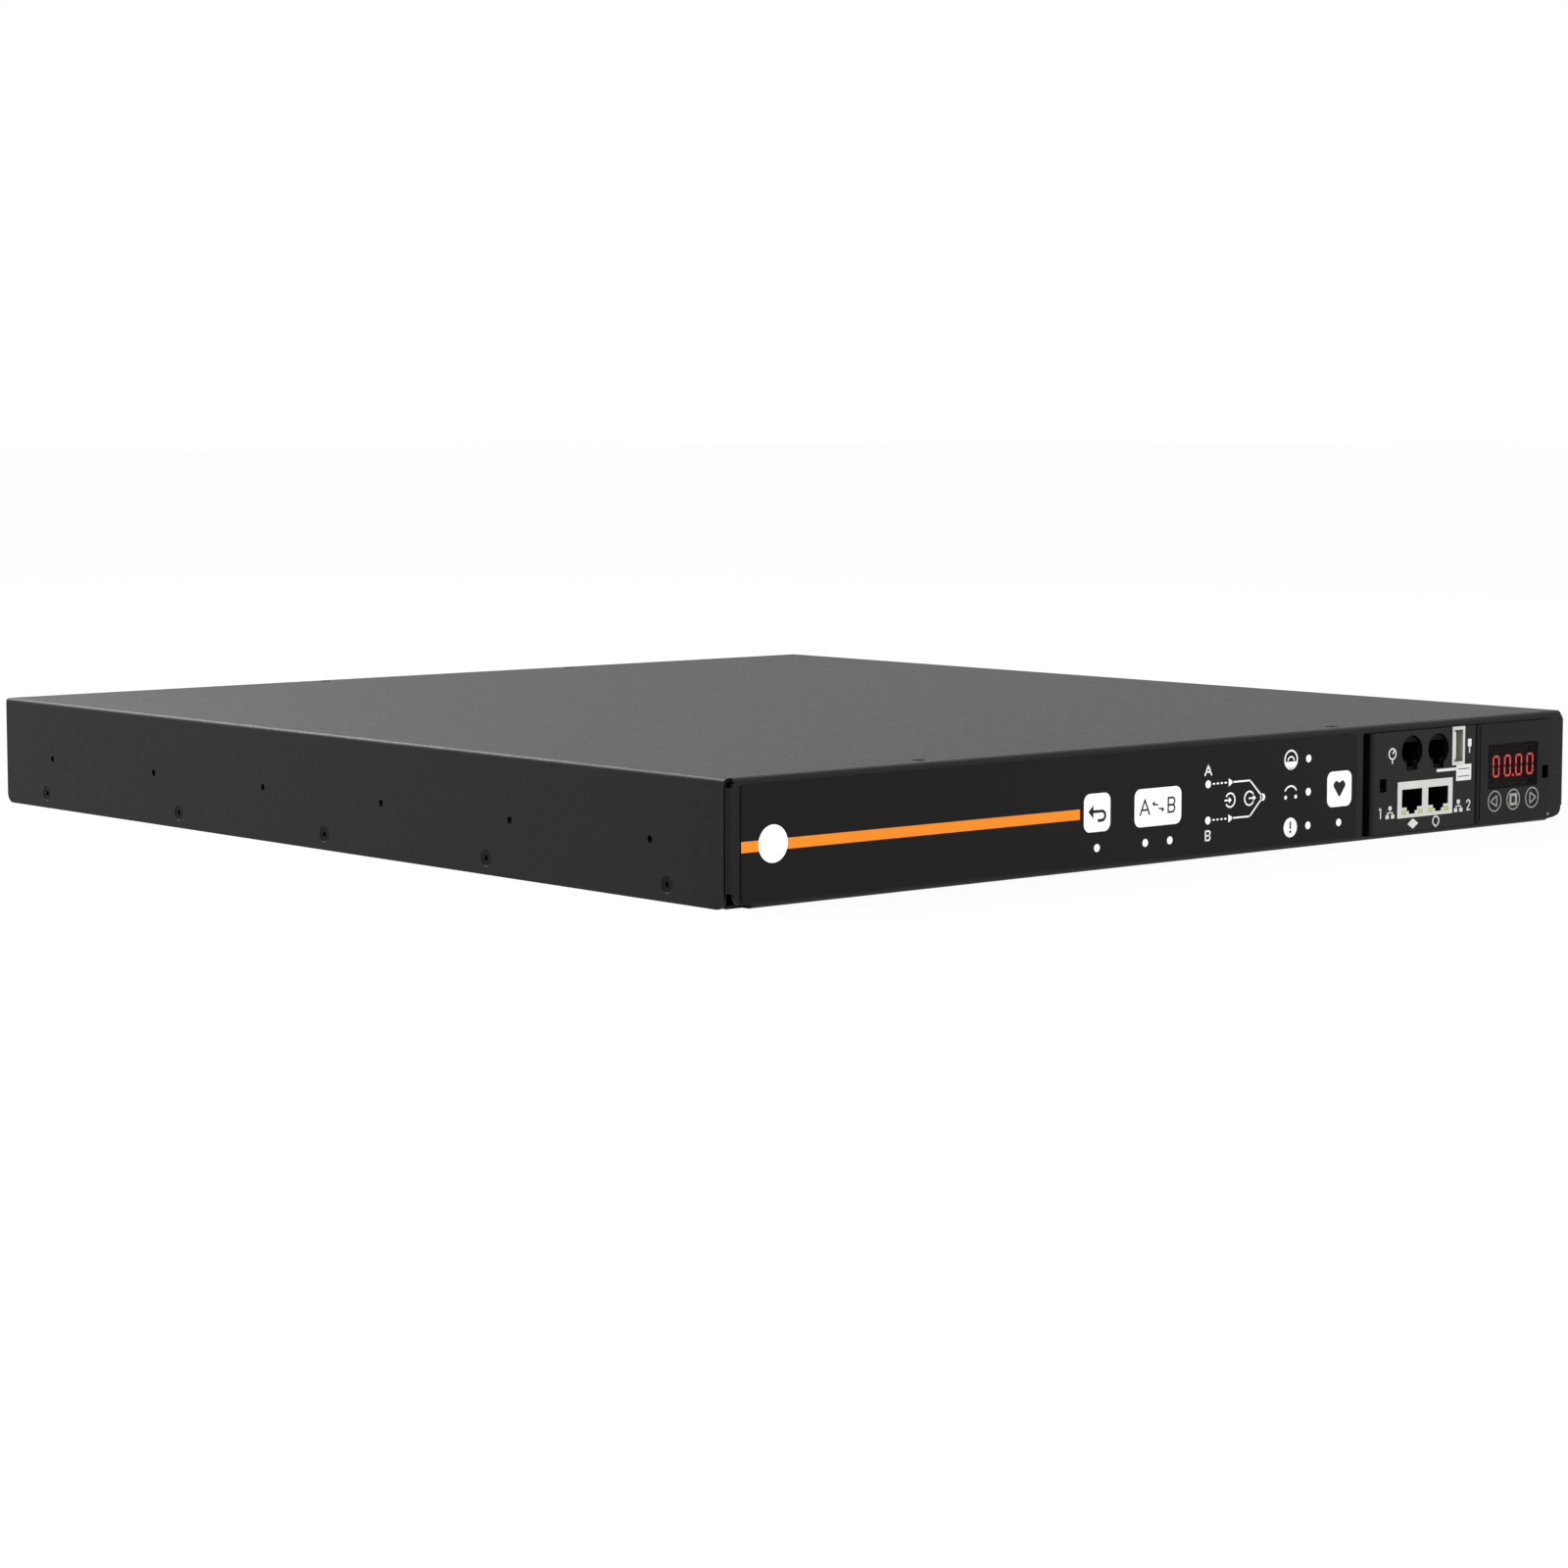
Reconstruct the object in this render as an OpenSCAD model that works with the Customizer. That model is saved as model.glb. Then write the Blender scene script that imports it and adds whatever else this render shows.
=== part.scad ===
// Rack static transfer switch, one unit high.
// Two mains inputs at the rear, a bank of outlets beside them, a printed key panel and a
// plug-in network and display module at the front.
// Frame: +X to the right of someone facing the front, +Y to the rear, +Z up.
// Origin: centre of the underside of the sheet metal case. The unit rests on that face.

/* [Case] */
// Width of the case, outside its side walls
body_w = 438; // [430:1:446]
// Depth of the case, front face to rear edge
body_d = 468; // [460:1:500]
// Height of the case
body_h = 43.6; // [43:0.1:44.4]
// Thickness of the folded sheet
sheet_t = 1.2; // [1:0.1:1.4]
// Outside radius of the folds round the front face
front_bend_r = 1.8; // [1.6:0.1:2.2]
// Outside radius of the two long folds of the cover
cover_bend_r = 1.6; // [1.5:0.1:2.4]
// Clearance between the cover and the tray flanges inside it
cover_gap = 0.2; // [0.1:0.05:0.3]
// Run of the step that carries the front flanges under the cover
joggle_run = 0.7; // [0.5:0.1:1]
// Depth of the flanges that the cover lies on
return_d = 12; // [10:1:14]
// Height of the tray's side flanges
flange_h = 12; // [11:0.5:14]
// Radius of the lower corners of the cover's sides
cover_corner_r = 4; // [2:0.5:5]
// Distance from the side edge at which the lower front fold stops
lower_relief = 10; // [8:0.5:12]
// Height of the front plate's lower edge beside that fold
relief_h = 1.6; // [1.3:0.1:2]

/* [Fixings] */
// Number of cover screws along each side
side_screws_n = 5; // [3:1:5]
// Pitch of the cover screws along each side
side_screw_pitch = 100.9; // [95:0.1:101]
// Distance of the first cover screw from the front face
side_screw_first = 32.2; // [30:0.1:35]
// Height of the cover screws above the underside
side_screw_z = 6; // [5.5:0.1:7]
// Number of bracket holes along each side
bracket_n = 6; // [4:1:6]
// Pitch of the bracket holes
bracket_pitch = 78; // [76:0.1:79]
// Distance of the first bracket hole from the front face
bracket_first = 41; // [38:0.1:44]
// Height of the bracket holes above the underside
bracket_z = 20.5; // [19:0.1:22]
// Diameter of the tapped bracket holes
bracket_hole_d = 2.6; // [2.4:0.1:3.4]
// Distance of the screws in the cover's top from its front and rear edges
top_screw_inset = 6; // [5.5:0.1:7]
// Shank diameter of the countersunk cover screws
screw_d = 3; // [2.5:0.1:3]
// Head diameter of the countersunk cover screws
screw_head_d = 5.6; // [5.2:0.1:6]

/* [Key panel] */
// Distance of the printed film from the left edge of the case
film_x0 = 5; // [4:0.1:7]
// Length of the printed film
film_w = 306.2; // [306:0.1:307]
// Height of the printed film
film_h = 39; // [37:0.1:39]
// Thickness of the printed film
film_t = 0.4; // [0.3:0.1:0.5]
// Diameter of the indicator holes behind the film
lamp_hole_d = 3.2; // [3:0.1:3.4]
// Diameter of the key windows behind the film
key_hole_d = 9; // [8.6:0.1:10]
// Diameter of the snap domes
dome_d = 8; // [7:0.1:8.4]
// Thickness of every circuit board
board_t = 1.6; // [1.2:0.1:2]

/* [Plug-in module] */
// Distance of the module bay's left edge from the right side of the case
bay_left = 122.8; // [122:0.1:123]
// Distance of the module bay's right edge from the right side of the case
bay_right = 9; // [8.6:0.1:9.1]
// Distance of the port half's left edge from the right side of the case
port_left = 118.7; // [118.5:0.1:119]
// Width of the port half
port_w = 62.5; // [62:0.1:62.6]
// Width of the display half
display_w = 46.4; // [46:0.1:46.5]
// Gap between the two halves
half_gap = 0.4; // [0.3:0.1:0.6]
// How far the module stands out of the front face
module_proud = 1; // [0.6:0.1:1.4]
// Lower edge of the module's face plates
module_z0 = 1.9; // [1.8:0.1:2.2]
// Height of the module's face plates
module_h = 38.9; // [38.4:0.1:38.9]
// Thickness of the module's face plates
plate_t = 1; // [0.8:0.1:1.2]
// Outside radius of the folds of the module's face plates
plate_bend_r = 1.6; // [1.4:0.1:2]
// Depth of the module's folded edges
plate_return = 8; // [6:0.5:9]
// Depth of the module behind its face
module_d = 33; // [31:0.5:34]

/* [Rear connectors] */
// Centre of the rear connectors above the underside
rear_z = 21.8; // [21.5:0.1:22.1]
// Distance of the first mains inlet's centre from the left side
inlet_x = 41; // [41:0.5:43]
// Distance between the two mains inlets
inlet_pitch = 54; // [52:0.5:55]
// Distance of the large outlet's centre from the left side
large_x = 145; // [144:0.5:146]
// Distance of the first outlet bank's centre from the left side
bank_x = 234; // [233.5:0.5:235]
// Distance between the centres of the two outlet banks
bank_pitch = 132; // [130:0.5:132]
// Distance between two outlets of a bank
outlet_pitch = 31; // [30:0.1:31]
// Number of outlets in a bank
outlets_n = 4; // [2:1:4]
// Distance of the earth stud from the left side
earth_x = 9.5; // [9.4:0.1:10]
// Height of the earth stud above the underside
earth_z = 22.4; // [20:0.1:24]
// Diameter of the earth stud's free end
earth_d = 5; // [4:0.5:5]
// Length of the earth stud's free end behind its nut
earth_len = 5; // [4:0.5:8]

/* [Hidden] */
$fn = 48;
EPS = 0.02;

// Faces of the case
left = -body_w / 2;
right = body_w / 2;
front = -body_d / 2;
rear = body_d / 2;
pan_back = front + sheet_t;
// The tray's flanges stand this far inside the outer faces of the cover
step_in = sheet_t + cover_gap;
cover_front = front + front_bend_r + joggle_run + 0.1;
rear_inset = 0.3;
wall_back = rear - rear_inset;
wall_front = wall_back - sheet_t;
corner_relief = 2.6;
corner_slit = 0.4;

// Screws
thread_play = 0.05;
sink_depth = 0.25;
screw_len = 6;
tapped_d = screw_d + 2 * thread_play;
top_front_x = [93.5, 307];
top_rear_x = [157, 293];

// Front film, indicator and key places, from the left edge and the underside
film_z0 = 2.2;
lamps = [[171, 8.2], [195.8, 8.2], [208.6, 8.2], [301.1, 8.2], [283.65, 33.5],
    [283.65, 21], [283.65, 8.3], [228.7, 27.3], [228.7, 14], [258.3, 20.7]];
keys = [[171, 20.9], [202.3, 20.9], [301.2, 20.9]];
board_x0 = 157;
board_x1 = 312;
board_z0 = 3.6;
board_h = 35.4;
board_play = 0.2;
control_y = pan_back + board_play;
stud_x = [160, 309.4];
stud_z = [6.4, 36];
stud_d = 2.5;

// Module faces
bay_x0 = right - bay_left;
bay_x1 = right - bay_right;
bay_z0 = relief_h;
bay_z1 = body_h - step_in - sheet_t;
face_y = front - module_proud;
port_x0 = right - port_left;
port_x1 = port_x0 + port_w;
disp_x0 = port_x1 + half_gap;
disp_x1 = disp_x0 + display_w;
behind_plate = face_y + plate_t;
port_board_y = behind_plate + 15.6;
display_board_y = behind_plate + 9.4;
frame_t = 1;
frame_z = module_z0 + 0.4;

// Ports, from the port half's left edge and the underside
sensor_at = [[23.4, 32.8], [39.1, 32.8]];
sensor_hole_d = 12.3;
sensor_notch = [6.4, 7.3];
sensor_body = [13.4, 14.8];
sensor_drop = 7.6;
sensor_cavity = [9.8, 7];
sensor_depth = 11;
usb_at = [50.8, 33.4];
usb_size = [5.8, 13.2];
usb_lip = 0.9;
usb_wall = 0.4;
net_at = [31.2, 14.3];
net_size = [32.8, 14];
net_pitch = 15.6;
net_cavity = [12, 7];
net_depth = 12.4;
net_wall = 0.5;
net_lamp = [2.8, 1.8];
net_lamp_d = 3;
net_lamp_at = [4.8, -4.9];
net_top = 4;
slot_at = [6.6, 20.5];
slot_size = [3.9, 5.2];

// Display, from the display half's left edge and the underside
lens_at = [21.7, 23.8];
lens_size = [30.6, 17.4];
digit_pitch = 7.2;
digit_h = 9.6;
digit_w = 4.4;
seg_w = 0.9;
disp_keys = [[10.4, 10.1], [22, 10.1], [33.7, 10.1]];
disp_slot = [42, 20];
disp_film_t = 0.3;
digit_x = [for (i = [0:3]) (i - 1.5) * digit_pitch];
digit_face = behind_plate + 1.3;
seg_depth = 0.8;
digit_block_size = [30, 14];

// Outlets and inlets
lip_t = 2;
connector_y = wall_back + lip_t;
slot_d = 4;
pocket_play = 1.2;
contact_tip = connector_y - slot_d - 0.2;
small_core = [23.6, 15.4];
small_ring = [28, 19.8];
small_cut = 4.6;
small_depth = 13;
small_face_h = 25;
small_body_d = 26;
small_slots = [[-7, -2], [7, -2], [0, 2]];
small_slot = [2.4, 4.8];
body_back = wall_back - small_body_d;
bank_body_w = outlets_n * outlet_pitch;
bank_body_h = small_ring.y + 1.6;
large_core = [28.2, 20.2];
large_ring = [32.6, 24.6];
large_cut = 4.4;
large_face = [38, 30];
large_body = [large_ring.x + 2.4, large_ring.y + 2];
large_slots = [[-6.5, -4], [6.5, -4], [0, 4]];
large_slot = [8.6, 2.8];
blade = [8, 2];
blade_tail = 8;
blade_inset = 2.5;
inlet_cavity = [29, 21];
inlet_depth = 17;
inlet_face = [50, 28];
inlet_body = [34, 26, 28];
inlet_hole_x = 20;
fit_play = 0.3;
earth_root_d = 6;
earth_washer_t = 1;
earth_nut_t = 4;

// Inner power parts
filter_size = [44, 64, 32];
filter_y1 = 182;
filter_post_y = filter_y1 - filter_size.y + 8;
post_d = 4;
sink_size = [96, 120];
sink_y0 = -42;
sink_a_x = -152;
sink_b_x = -52;
sink_base = 5;
sink_h = 31;
fin_t = 2;
fin_pitch = 5.4;
fins_n = 5;
scr_size = [34, 94, 27];
scr_pitch = 24;
bar_z = sheet_t + sink_base + scr_size.z;
bar_t = 1.5;
bar_w = 12;
out_run = 64;
power_x = [0, 196];
power_y = [-70, 168];
deck_z = 9;
logic_x = [-62, 58];
logic_y = [-204, -112];
cable_w = 14;
cable_t = 1;
cable_z = 15;
header_d = 8;
logic_header_y = -196;
sensor_size = [26, 14];
sensor_y = 120;
deck_hole_inset = 5;
deck_hole_d = 3.4;
chips = [[-24, -176, 20, 20, 1.6], [12, -172, 14, 12, 1.4], [-50, -190, 14, 50, 9]];
supplies = [[150, -50], [150, 20]];
supply_size = [34, 42, 24];
capacitor_x = [40, 66];
capacitor_y = [-40, -12, 16];
capacitor_size = [22, 26];

// ---------- shared forms ----------

// A box given by its two opposite corners
module block(lo, hi) {
    translate(lo) cube(hi - lo);
}

// Extrudes an outline in X and Z along Y, from y0 to y1
module along_y(y0, y1) {
    translate([0, y1, 0]) rotate([90, 0, 0]) linear_extrude(y1 - y0) children();
}

// Extrudes an outline in Y and Z along X, from x0 to x1
module along_x(x0, x1) {
    translate([x0, 0, 0]) rotate([90, 0, 90]) linear_extrude(x1 - x0) children();
}

// Extrudes an outline in X and Y along Z, from z0 to z1
module along_z(z0, z1) {
    translate([0, 0, z0]) linear_extrude(z1 - z0) children();
}

// A round bar along Y
module rod_y(x, z, d, y0, y1) {
    translate([x, y0, z]) rotate([-90, 0, 0]) cylinder(d = d, h = y1 - y0);
}

// A round bar along Z
module rod_z(x, y, d, z0, z1) {
    translate([x, y, z0]) cylinder(d = d, h = z1 - z0);
}

// A rectangle with round corners, centred
module round_rect(size, r) {
    square([size.x, size.y - 2 * r], center = true);
    square([size.x - 2 * r, size.y], center = true);
    for (sx = [-1, 1]) {
        for (sy = [-1, 1]) {
            translate([sx * (size.x / 2 - r), sy * (size.y / 2 - r)]) circle(r);
        }
    }
}

// A quarter ring about its own centre: one fold of the sheet, seen end on
module fold(r, t) {
    intersection() {
        difference() {
            circle(r);
            circle(r - t);
        }
        square(r);
    }
}

// A sheet folded into a channel, open downwards: w wide, h high
module channel(w, h, t, r) {
    translate([-w / 2 + r, h - t]) square([w - 2 * r, t]);
    for (side = [0, 1]) {
        mirror([side, 0]) {
            translate([w / 2 - t, 0]) square([t, h - r]);
            translate([w / 2 - r, h - r]) fold(r, t);
        }
    }
}

// The section of a front edge: fold, step under the cover and flange. The face is at x = 0
// and the outer face of the case at y = 0, below which the section lies.
module edge_section() {
    translate([front_bend_r, -front_bend_r]) rotate(90) fold(front_bend_r, sheet_t);
    translate([front_bend_r, 0]) {
        polygon([[0, 0], [joggle_run, -step_in], [joggle_run, -step_in - sheet_t], [0, -sheet_t]]);
    }
    translate([front_bend_r + joggle_run, -step_in - sheet_t]) square([return_d, sheet_t]);
}

// The face outline of a mains connector: a rectangle with two corners cut off at the top
module mains_outline(size, cut) {
    w = size.x / 2;
    h = size.y / 2;
    polygon([[-w, -h], [w, -h], [w, h - cut], [w - cut, h], [cut - w, h], [-w, h - cut]]);
}

// ---------- case ----------

module face_holes() {
    for (p = lamps) {
        translate([left + p.x, p.y]) circle(d = lamp_hole_d);
    }
    for (k = keys) {
        translate([left + k.x, k.y]) circle(d = key_hole_d);
    }
    translate([bay_x0, bay_z0]) square([bay_x1 - bay_x0, bay_z1 - bay_z0]);
}

// The flat front face, with rounded lower corners beside the lower fold
module face_outline() {
    r = cover_corner_r - 0.4;
    w = body_w / 2 - front_bend_r;
    z1 = body_h - front_bend_r;
    translate([-w, relief_h + r]) square([2 * w, z1 - relief_h - r]);
    translate([lower_relief - body_w / 2, front_bend_r]) square([body_w - 2 * lower_relief, r + relief_h]);
    for (side = [0, 1]) {
        mirror([side, 0]) {
            translate([w - r, relief_h + r]) circle(r);
            translate([0, relief_h]) square([w - r, r]);
        }
    }
}

module front_pan() {
    difference() {
        union() {
            along_y(front, pan_back) face_outline();
            // lower fold
            along_x(left + lower_relief, right - lower_relief) {
                translate([front + front_bend_r, front_bend_r]) rotate(180) fold(front_bend_r, sheet_t);
            }
            // upper edge
            along_x(left + corner_relief, right - corner_relief) translate([front, body_h]) edge_section();
            // side edges
            for (side = [0, 1]) {
                mirror([side, 0, 0]) {
                    along_z(flange_h + 1, body_h - corner_relief - corner_slit) {
                        translate([right, front]) mirror([1, 0]) rotate(90) edge_section();
                    }
                    along_z(relief_h + cover_corner_r, flange_h + 1 + EPS) {
                        translate([right - front_bend_r, front + front_bend_r]) {
                            rotate(-90) fold(front_bend_r, sheet_t);
                        }
                    }
                }
            }
        }
        along_y(front - 1, pan_back + 1) face_holes();
    }
}

// Cut-outs of the rear wall, in X and Z
module rear_holes() {
    for (i = [0, 1]) {
        translate([left + inlet_x + i * inlet_pitch, rear_z]) {
            square([inlet_body.x + 2 * fit_play, inlet_body.y + 2 * fit_play], center = true);
            for (side = [-1, 1]) {
                translate([side * inlet_hole_x, 0]) circle(d = screw_d + 2 * thread_play);
            }
        }
        translate([left + bank_x + i * bank_pitch, rear_z]) {
            square([bank_body_w + 2 * fit_play, bank_body_h + 2 * fit_play], center = true);
        }
    }
    translate([left + large_x, rear_z]) {
        square([large_body.x + 2 * fit_play, large_body.y + 2 * fit_play], center = true);
    }
    translate([left + earth_x, earth_z]) circle(d = earth_root_d + 2 * thread_play);
}

module rear_wall() {
    z1 = body_h - step_in;
    w = body_w / 2 - step_in;
    r = front_bend_r;
    difference() {
        union() {
            along_y(wall_front, wall_back) {
                translate([r - w, flange_h + 1]) square([2 * (w - r), z1 - r - flange_h - 1]);
                translate([lower_relief / 2 - w, r]) square([2 * w - lower_relief, flange_h + 1]);
            }
            // lower fold
            along_x(lower_relief / 2 - w, w - lower_relief / 2) {
                translate([wall_back - r, r]) rotate(-90) fold(r, sheet_t);
            }
            // flange under the cover
            along_x(lower_relief / 2 - w, w - lower_relief / 2) {
                translate([wall_back - r, z1 - r]) fold(r, sheet_t);
                translate([wall_back - r - return_d, z1 - sheet_t]) square([return_d, sheet_t]);
            }
            // flanges inside the cover's sides
            for (side = [0, 1]) {
                mirror([side, 0, 0]) along_z(flange_h + 1, z1 - corner_relief) {
                    translate([w - r, wall_back - r]) fold(r, sheet_t);
                    translate([w - sheet_t, wall_back - r - return_d]) square([sheet_t, return_d]);
                }
            }
        }
        along_y(wall_front - 1, wall_back + 1) rear_holes();
    }
}

// Places of the cover screws along Y
function side_screw_y(i) = front + side_screw_first + i * side_screw_pitch;
function bracket_y(i) = front + bracket_first + i * bracket_pitch;
function top_screw_spots() = concat(
    [for (x = top_front_x) [left + x, cover_front + top_screw_inset]],
    [for (x = top_rear_x) [left + x, rear - top_screw_inset]]);

module tray() {
    r = front_bend_r;
    color("#2b2b2b") difference() {
        union() {
            front_pan();
            rear_wall();
            // floor with its side flanges
            along_y(pan_back + r + 2, wall_front - r - 2) {
                translate([0, flange_h]) mirror([0, 1]) channel(body_w - 2 * step_in, flange_h, sheet_t, r);
            }
            // floor up to the front and rear folds
            block([left + lower_relief, front + r, 0], [right - lower_relief, 0, sheet_t]);
            block([left + step_in + lower_relief / 2, 0, 0],
                [right - step_in - lower_relief / 2, wall_back - r, sheet_t]);
        }
        for (side = [-1, 1]) {
            for (i = [0:side_screws_n - 1]) {
                translate([side * (right - step_in - sheet_t / 2), side_screw_y(i), side_screw_z]) {
                    rotate([0, 90, 0]) cylinder(d = tapped_d, h = 2 * sheet_t, center = true);
                }
            }
        }
        for (p = top_screw_spots()) {
            rod_z(p.x, p.y, tapped_d, body_h - 3 * sheet_t, body_h);
        }
    }
}

// The recess of a countersunk screw, pointing down from the outer face at z = 0
module countersink() {
    translate([0, 0, -sheet_t - EPS]) {
        cylinder(d1 = screw_d + 0.6, d2 = screw_head_d + 0.6, h = sheet_t + 2 * EPS);
    }
}

// A countersunk screw with a hexagon socket, its outer face at z = -sink_depth
module countersunk_screw() {
    head_h = sheet_t - sink_depth;
    translate([0, 0, -sink_depth]) {
        difference() {
            union() {
                translate([0, 0, -head_h]) cylinder(d1 = screw_d, d2 = screw_head_d, h = head_h);
                translate([0, 0, -screw_len]) cylinder(d = screw_d, h = screw_len - head_h + EPS);
            }
            translate([0, 0, -0.6]) cylinder(d = 2.3, h = 1, $fn = 6);
        }
    }
}

module at_side_screws() {
    for (side = [-1, 1]) {
        for (i = [0:side_screws_n - 1]) {
            translate([side * body_w / 2, side_screw_y(i), side_screw_z]) {
                rotate([0, side * 90, 0]) children();
            }
        }
    }
}

module cover() {
    r = cover_corner_r;
    color("#303030") difference() {
        along_y(cover_front, rear) channel(body_w, body_h, sheet_t, cover_bend_r);
        // rounded lower corners of both sides
        along_x(left - 1, right + 1) {
            difference() {
                translate([cover_front - 1, -1]) square([r + 1, r + 1]);
                translate([cover_front + r, r]) circle(r);
            }
            difference() {
                translate([rear - r, -1]) square([r + 1, r + 1]);
                translate([rear - r, r]) circle(r);
            }
        }
        at_side_screws() countersink();
        for (p = top_screw_spots()) {
            translate([p.x, p.y, body_h]) countersink();
        }
        for (i = [0:bracket_n - 1]) {
            translate([0, bracket_y(i), bracket_z]) rotate([0, 90, 0]) {
                cylinder(d = bracket_hole_d, h = body_w + 2, center = true);
            }
        }
    }
}

module cover_screws() {
    color("#161616") {
        at_side_screws() countersunk_screw();
        for (p = top_screw_spots()) {
            translate([p.x, p.y, body_h]) countersunk_screw();
        }
    }
}

module bracket_nuts() {
    nut_d = 5.6;
    nut_t = 1.6;
    color("silver") for (side = [-1, 1]) {
        for (i = [0:bracket_n - 1]) {
            translate([side * (body_w / 2 - sheet_t - nut_t / 2), bracket_y(i), bracket_z]) {
                rotate([0, 90, 0]) difference() {
                    cylinder(d = nut_d, h = nut_t, center = true);
                    cylinder(d = bracket_hole_d, h = nut_t + 1, center = true);
                }
            }
        }
    }
}

// ---------- key panel ----------

module key_film() {
    r = 1;
    color("#1f1f1f") along_y(front - film_t, front) {
        translate([left + film_x0 + film_w / 2, film_z0 + film_h / 2]) round_rect([film_w, film_h], r);
    }
}

module at_studs() {
    for (x = stud_x) {
        for (z = stud_z) {
            translate([left + x, 0, z]) children();
        }
    }
}

module control_board() {
    color("#0f4d2e") difference() {
        block([left + board_x0, control_y, board_z0],
            [left + board_x1, control_y + board_t, board_z0 + board_h]);
        at_studs() rod_y(0, 0, stud_d + 0.3, control_y - 1, control_y + board_t + 1);
    }
    // header for the flat cable
    color("#d8d8d0") block([-cable_w / 2 - 2, control_y + board_t, cable_z - 3],
        [cable_w / 2 + 2, control_y + board_t + header_d, cable_z + 3]);
}

module panel_studs() {
    color("silver") at_studs() rod_y(0, 0, stud_d, pan_back, control_y + board_t + 4);
}

module panel_nuts() {
    y0 = control_y + board_t;
    color("silver") at_studs() difference() {
        translate([0, y0, 0]) rotate([-90, 0, 0]) cylinder(d = 5.6, h = 2, $fn = 6);
        rod_y(0, 0, stud_d + 2 * thread_play, y0 - 1, y0 + 3);
    }
}

module panel_lamps() {
    color("white") for (p = lamps) {
        rod_y(left + p.x, p.y, lamp_hole_d - 0.4, front + 0.1, control_y);
    }
}

// A snap dome lying on a board at y, its crown towards the front
module snap_dome(y) {
    r = dome_d / 2;
    crown = 0.9;
    shoulder = 0.7;
    leaf = 0.2;
    translate([0, y, 0]) rotate([90, 0, 0]) rotate_extrude() {
        polygon([[0, crown - leaf], [shoulder * r, crown / 2 - leaf / 2], [r - leaf, 0], [r, 0],
            [shoulder * r, crown / 2 + leaf / 2], [0, crown]]);
    }
}

module snap_domes() {
    color("silver") {
        for (k = keys) {
            translate([left + k.x, 0, k.y]) snap_dome(control_y);
        }
        for (k = disp_keys) {
            translate([disp_x0 + k.x, 0, k.y]) snap_dome(behind_plate);
        }
    }
}

// ---------- plug-in module ----------

// A module face plate with its two side edges folded back
module face_plate(x0, w) {
    along_z(module_z0, module_z0 + module_h) {
        translate([x0 + w / 2, face_y + plate_return]) mirror([0, 1]) {
            channel(w, plate_return, plate_t, plate_bend_r);
        }
    }
}

// The opening of a sensor port: round, with a latch notch below
module sensor_opening() {
    circle(d = sensor_hole_d);
    translate([-sensor_notch.x / 2, -sensor_notch.y]) square(sensor_notch);
}

module port_plate() {
    color("#2b2b2b") difference() {
        face_plate(port_x0, port_w);
        along_y(face_y - 1, behind_plate + 1) {
            for (p = sensor_at) {
                translate([port_x0 + p.x, p.y]) sensor_opening();
            }
            translate([port_x0 + usb_at.x, usb_at.y]) square(usb_size + [0.4, 0.4], center = true);
            translate([port_x0 + net_at.x, net_at.y]) square(net_size + [0.4, 0.4], center = true);
            translate([port_x0 + slot_at.x, slot_at.y]) square(slot_size, center = true);
        }
    }
}

module display_plate() {
    color("#2b2b2b") difference() {
        face_plate(disp_x0, display_w);
        along_y(face_y - 1, behind_plate + 1) {
            translate([disp_x0 + lens_at.x, lens_at.y]) square(lens_size + [0.2, 0.2], center = true);
            translate([disp_x0 + disp_slot.x, disp_slot.y]) square(slot_size, center = true);
            for (k = disp_keys) {
                translate([disp_x0 + k.x, k.y]) circle(d = key_hole_d);
            }
        }
    }
}

module display_film() {
    x0 = disp_x0 + plate_bend_r;
    color("#242424") along_y(face_y - disp_film_t, face_y) difference() {
        translate([x0, module_z0 + 0.6]) square([display_w - 2 * plate_bend_r, module_h - 1.2]);
        translate([disp_x0 + lens_at.x, lens_at.y]) square(lens_size + [0.2, 0.2], center = true);
        translate([disp_x0 + disp_slot.x, disp_slot.y]) square(slot_size, center = true);
    }
}

// The shallow tray that carries both boards of the module
module module_frame() {
    x0 = port_x0 + 0.2;
    x1 = disp_x1 - 0.2;
    y0 = face_y + plate_return;
    y1 = face_y + module_d;
    color("silver") {
        block([x0, y0, frame_z], [x1, y1, frame_z + frame_t]);
        block([x0, y1 - frame_t, frame_z], [x1, y1, frame_z + 9]);
        for (x = [x0, x1 - frame_t]) {
            block([x, y0, frame_z], [x + frame_t, y1, frame_z + 30]);
        }
    }
}

module port_board() {
    color("#0f4d2e") block([port_x0 + 4, port_board_y, frame_z + frame_t],
        [port_x1 - 1, port_board_y + board_t, module_z0 + module_h - 1]);
}

module display_board() {
    color("#0f4d2e") block([disp_x0 + 2, display_board_y, frame_z + frame_t],
        [disp_x1 - 3, display_board_y + board_t, module_z0 + module_h - 1]);
    // pads that lift the keys' contacts to the plate
    color("#e8e4d8") for (k = disp_keys) {
        rod_y(disp_x0 + k.x, k.y, key_hole_d - 0.6, behind_plate, display_board_y + EPS);
    }
}

module net_cavity_outline() {
    floor_y = net_top - net_cavity.y;
    translate([-net_cavity.x / 2, floor_y]) square(net_cavity);
    translate([-3.1, floor_y - 1.4]) square([6.2, 1.5]);
    translate([-1.8, floor_y - 2.6]) square([3.6, 1.5]);
}

// Windows of the two lamps below a network port
module lamp_windows(size) {
    for (side = [-1, 1]) {
        translate([side * net_lamp_at.x, net_lamp_at.y]) square(size, center = true);
    }
}

module at_net_cavities() {
    for (side = [-1, 1]) {
        translate([port_x0 + net_at.x + side * net_pitch / 2, net_at.y]) children();
    }
}

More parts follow.
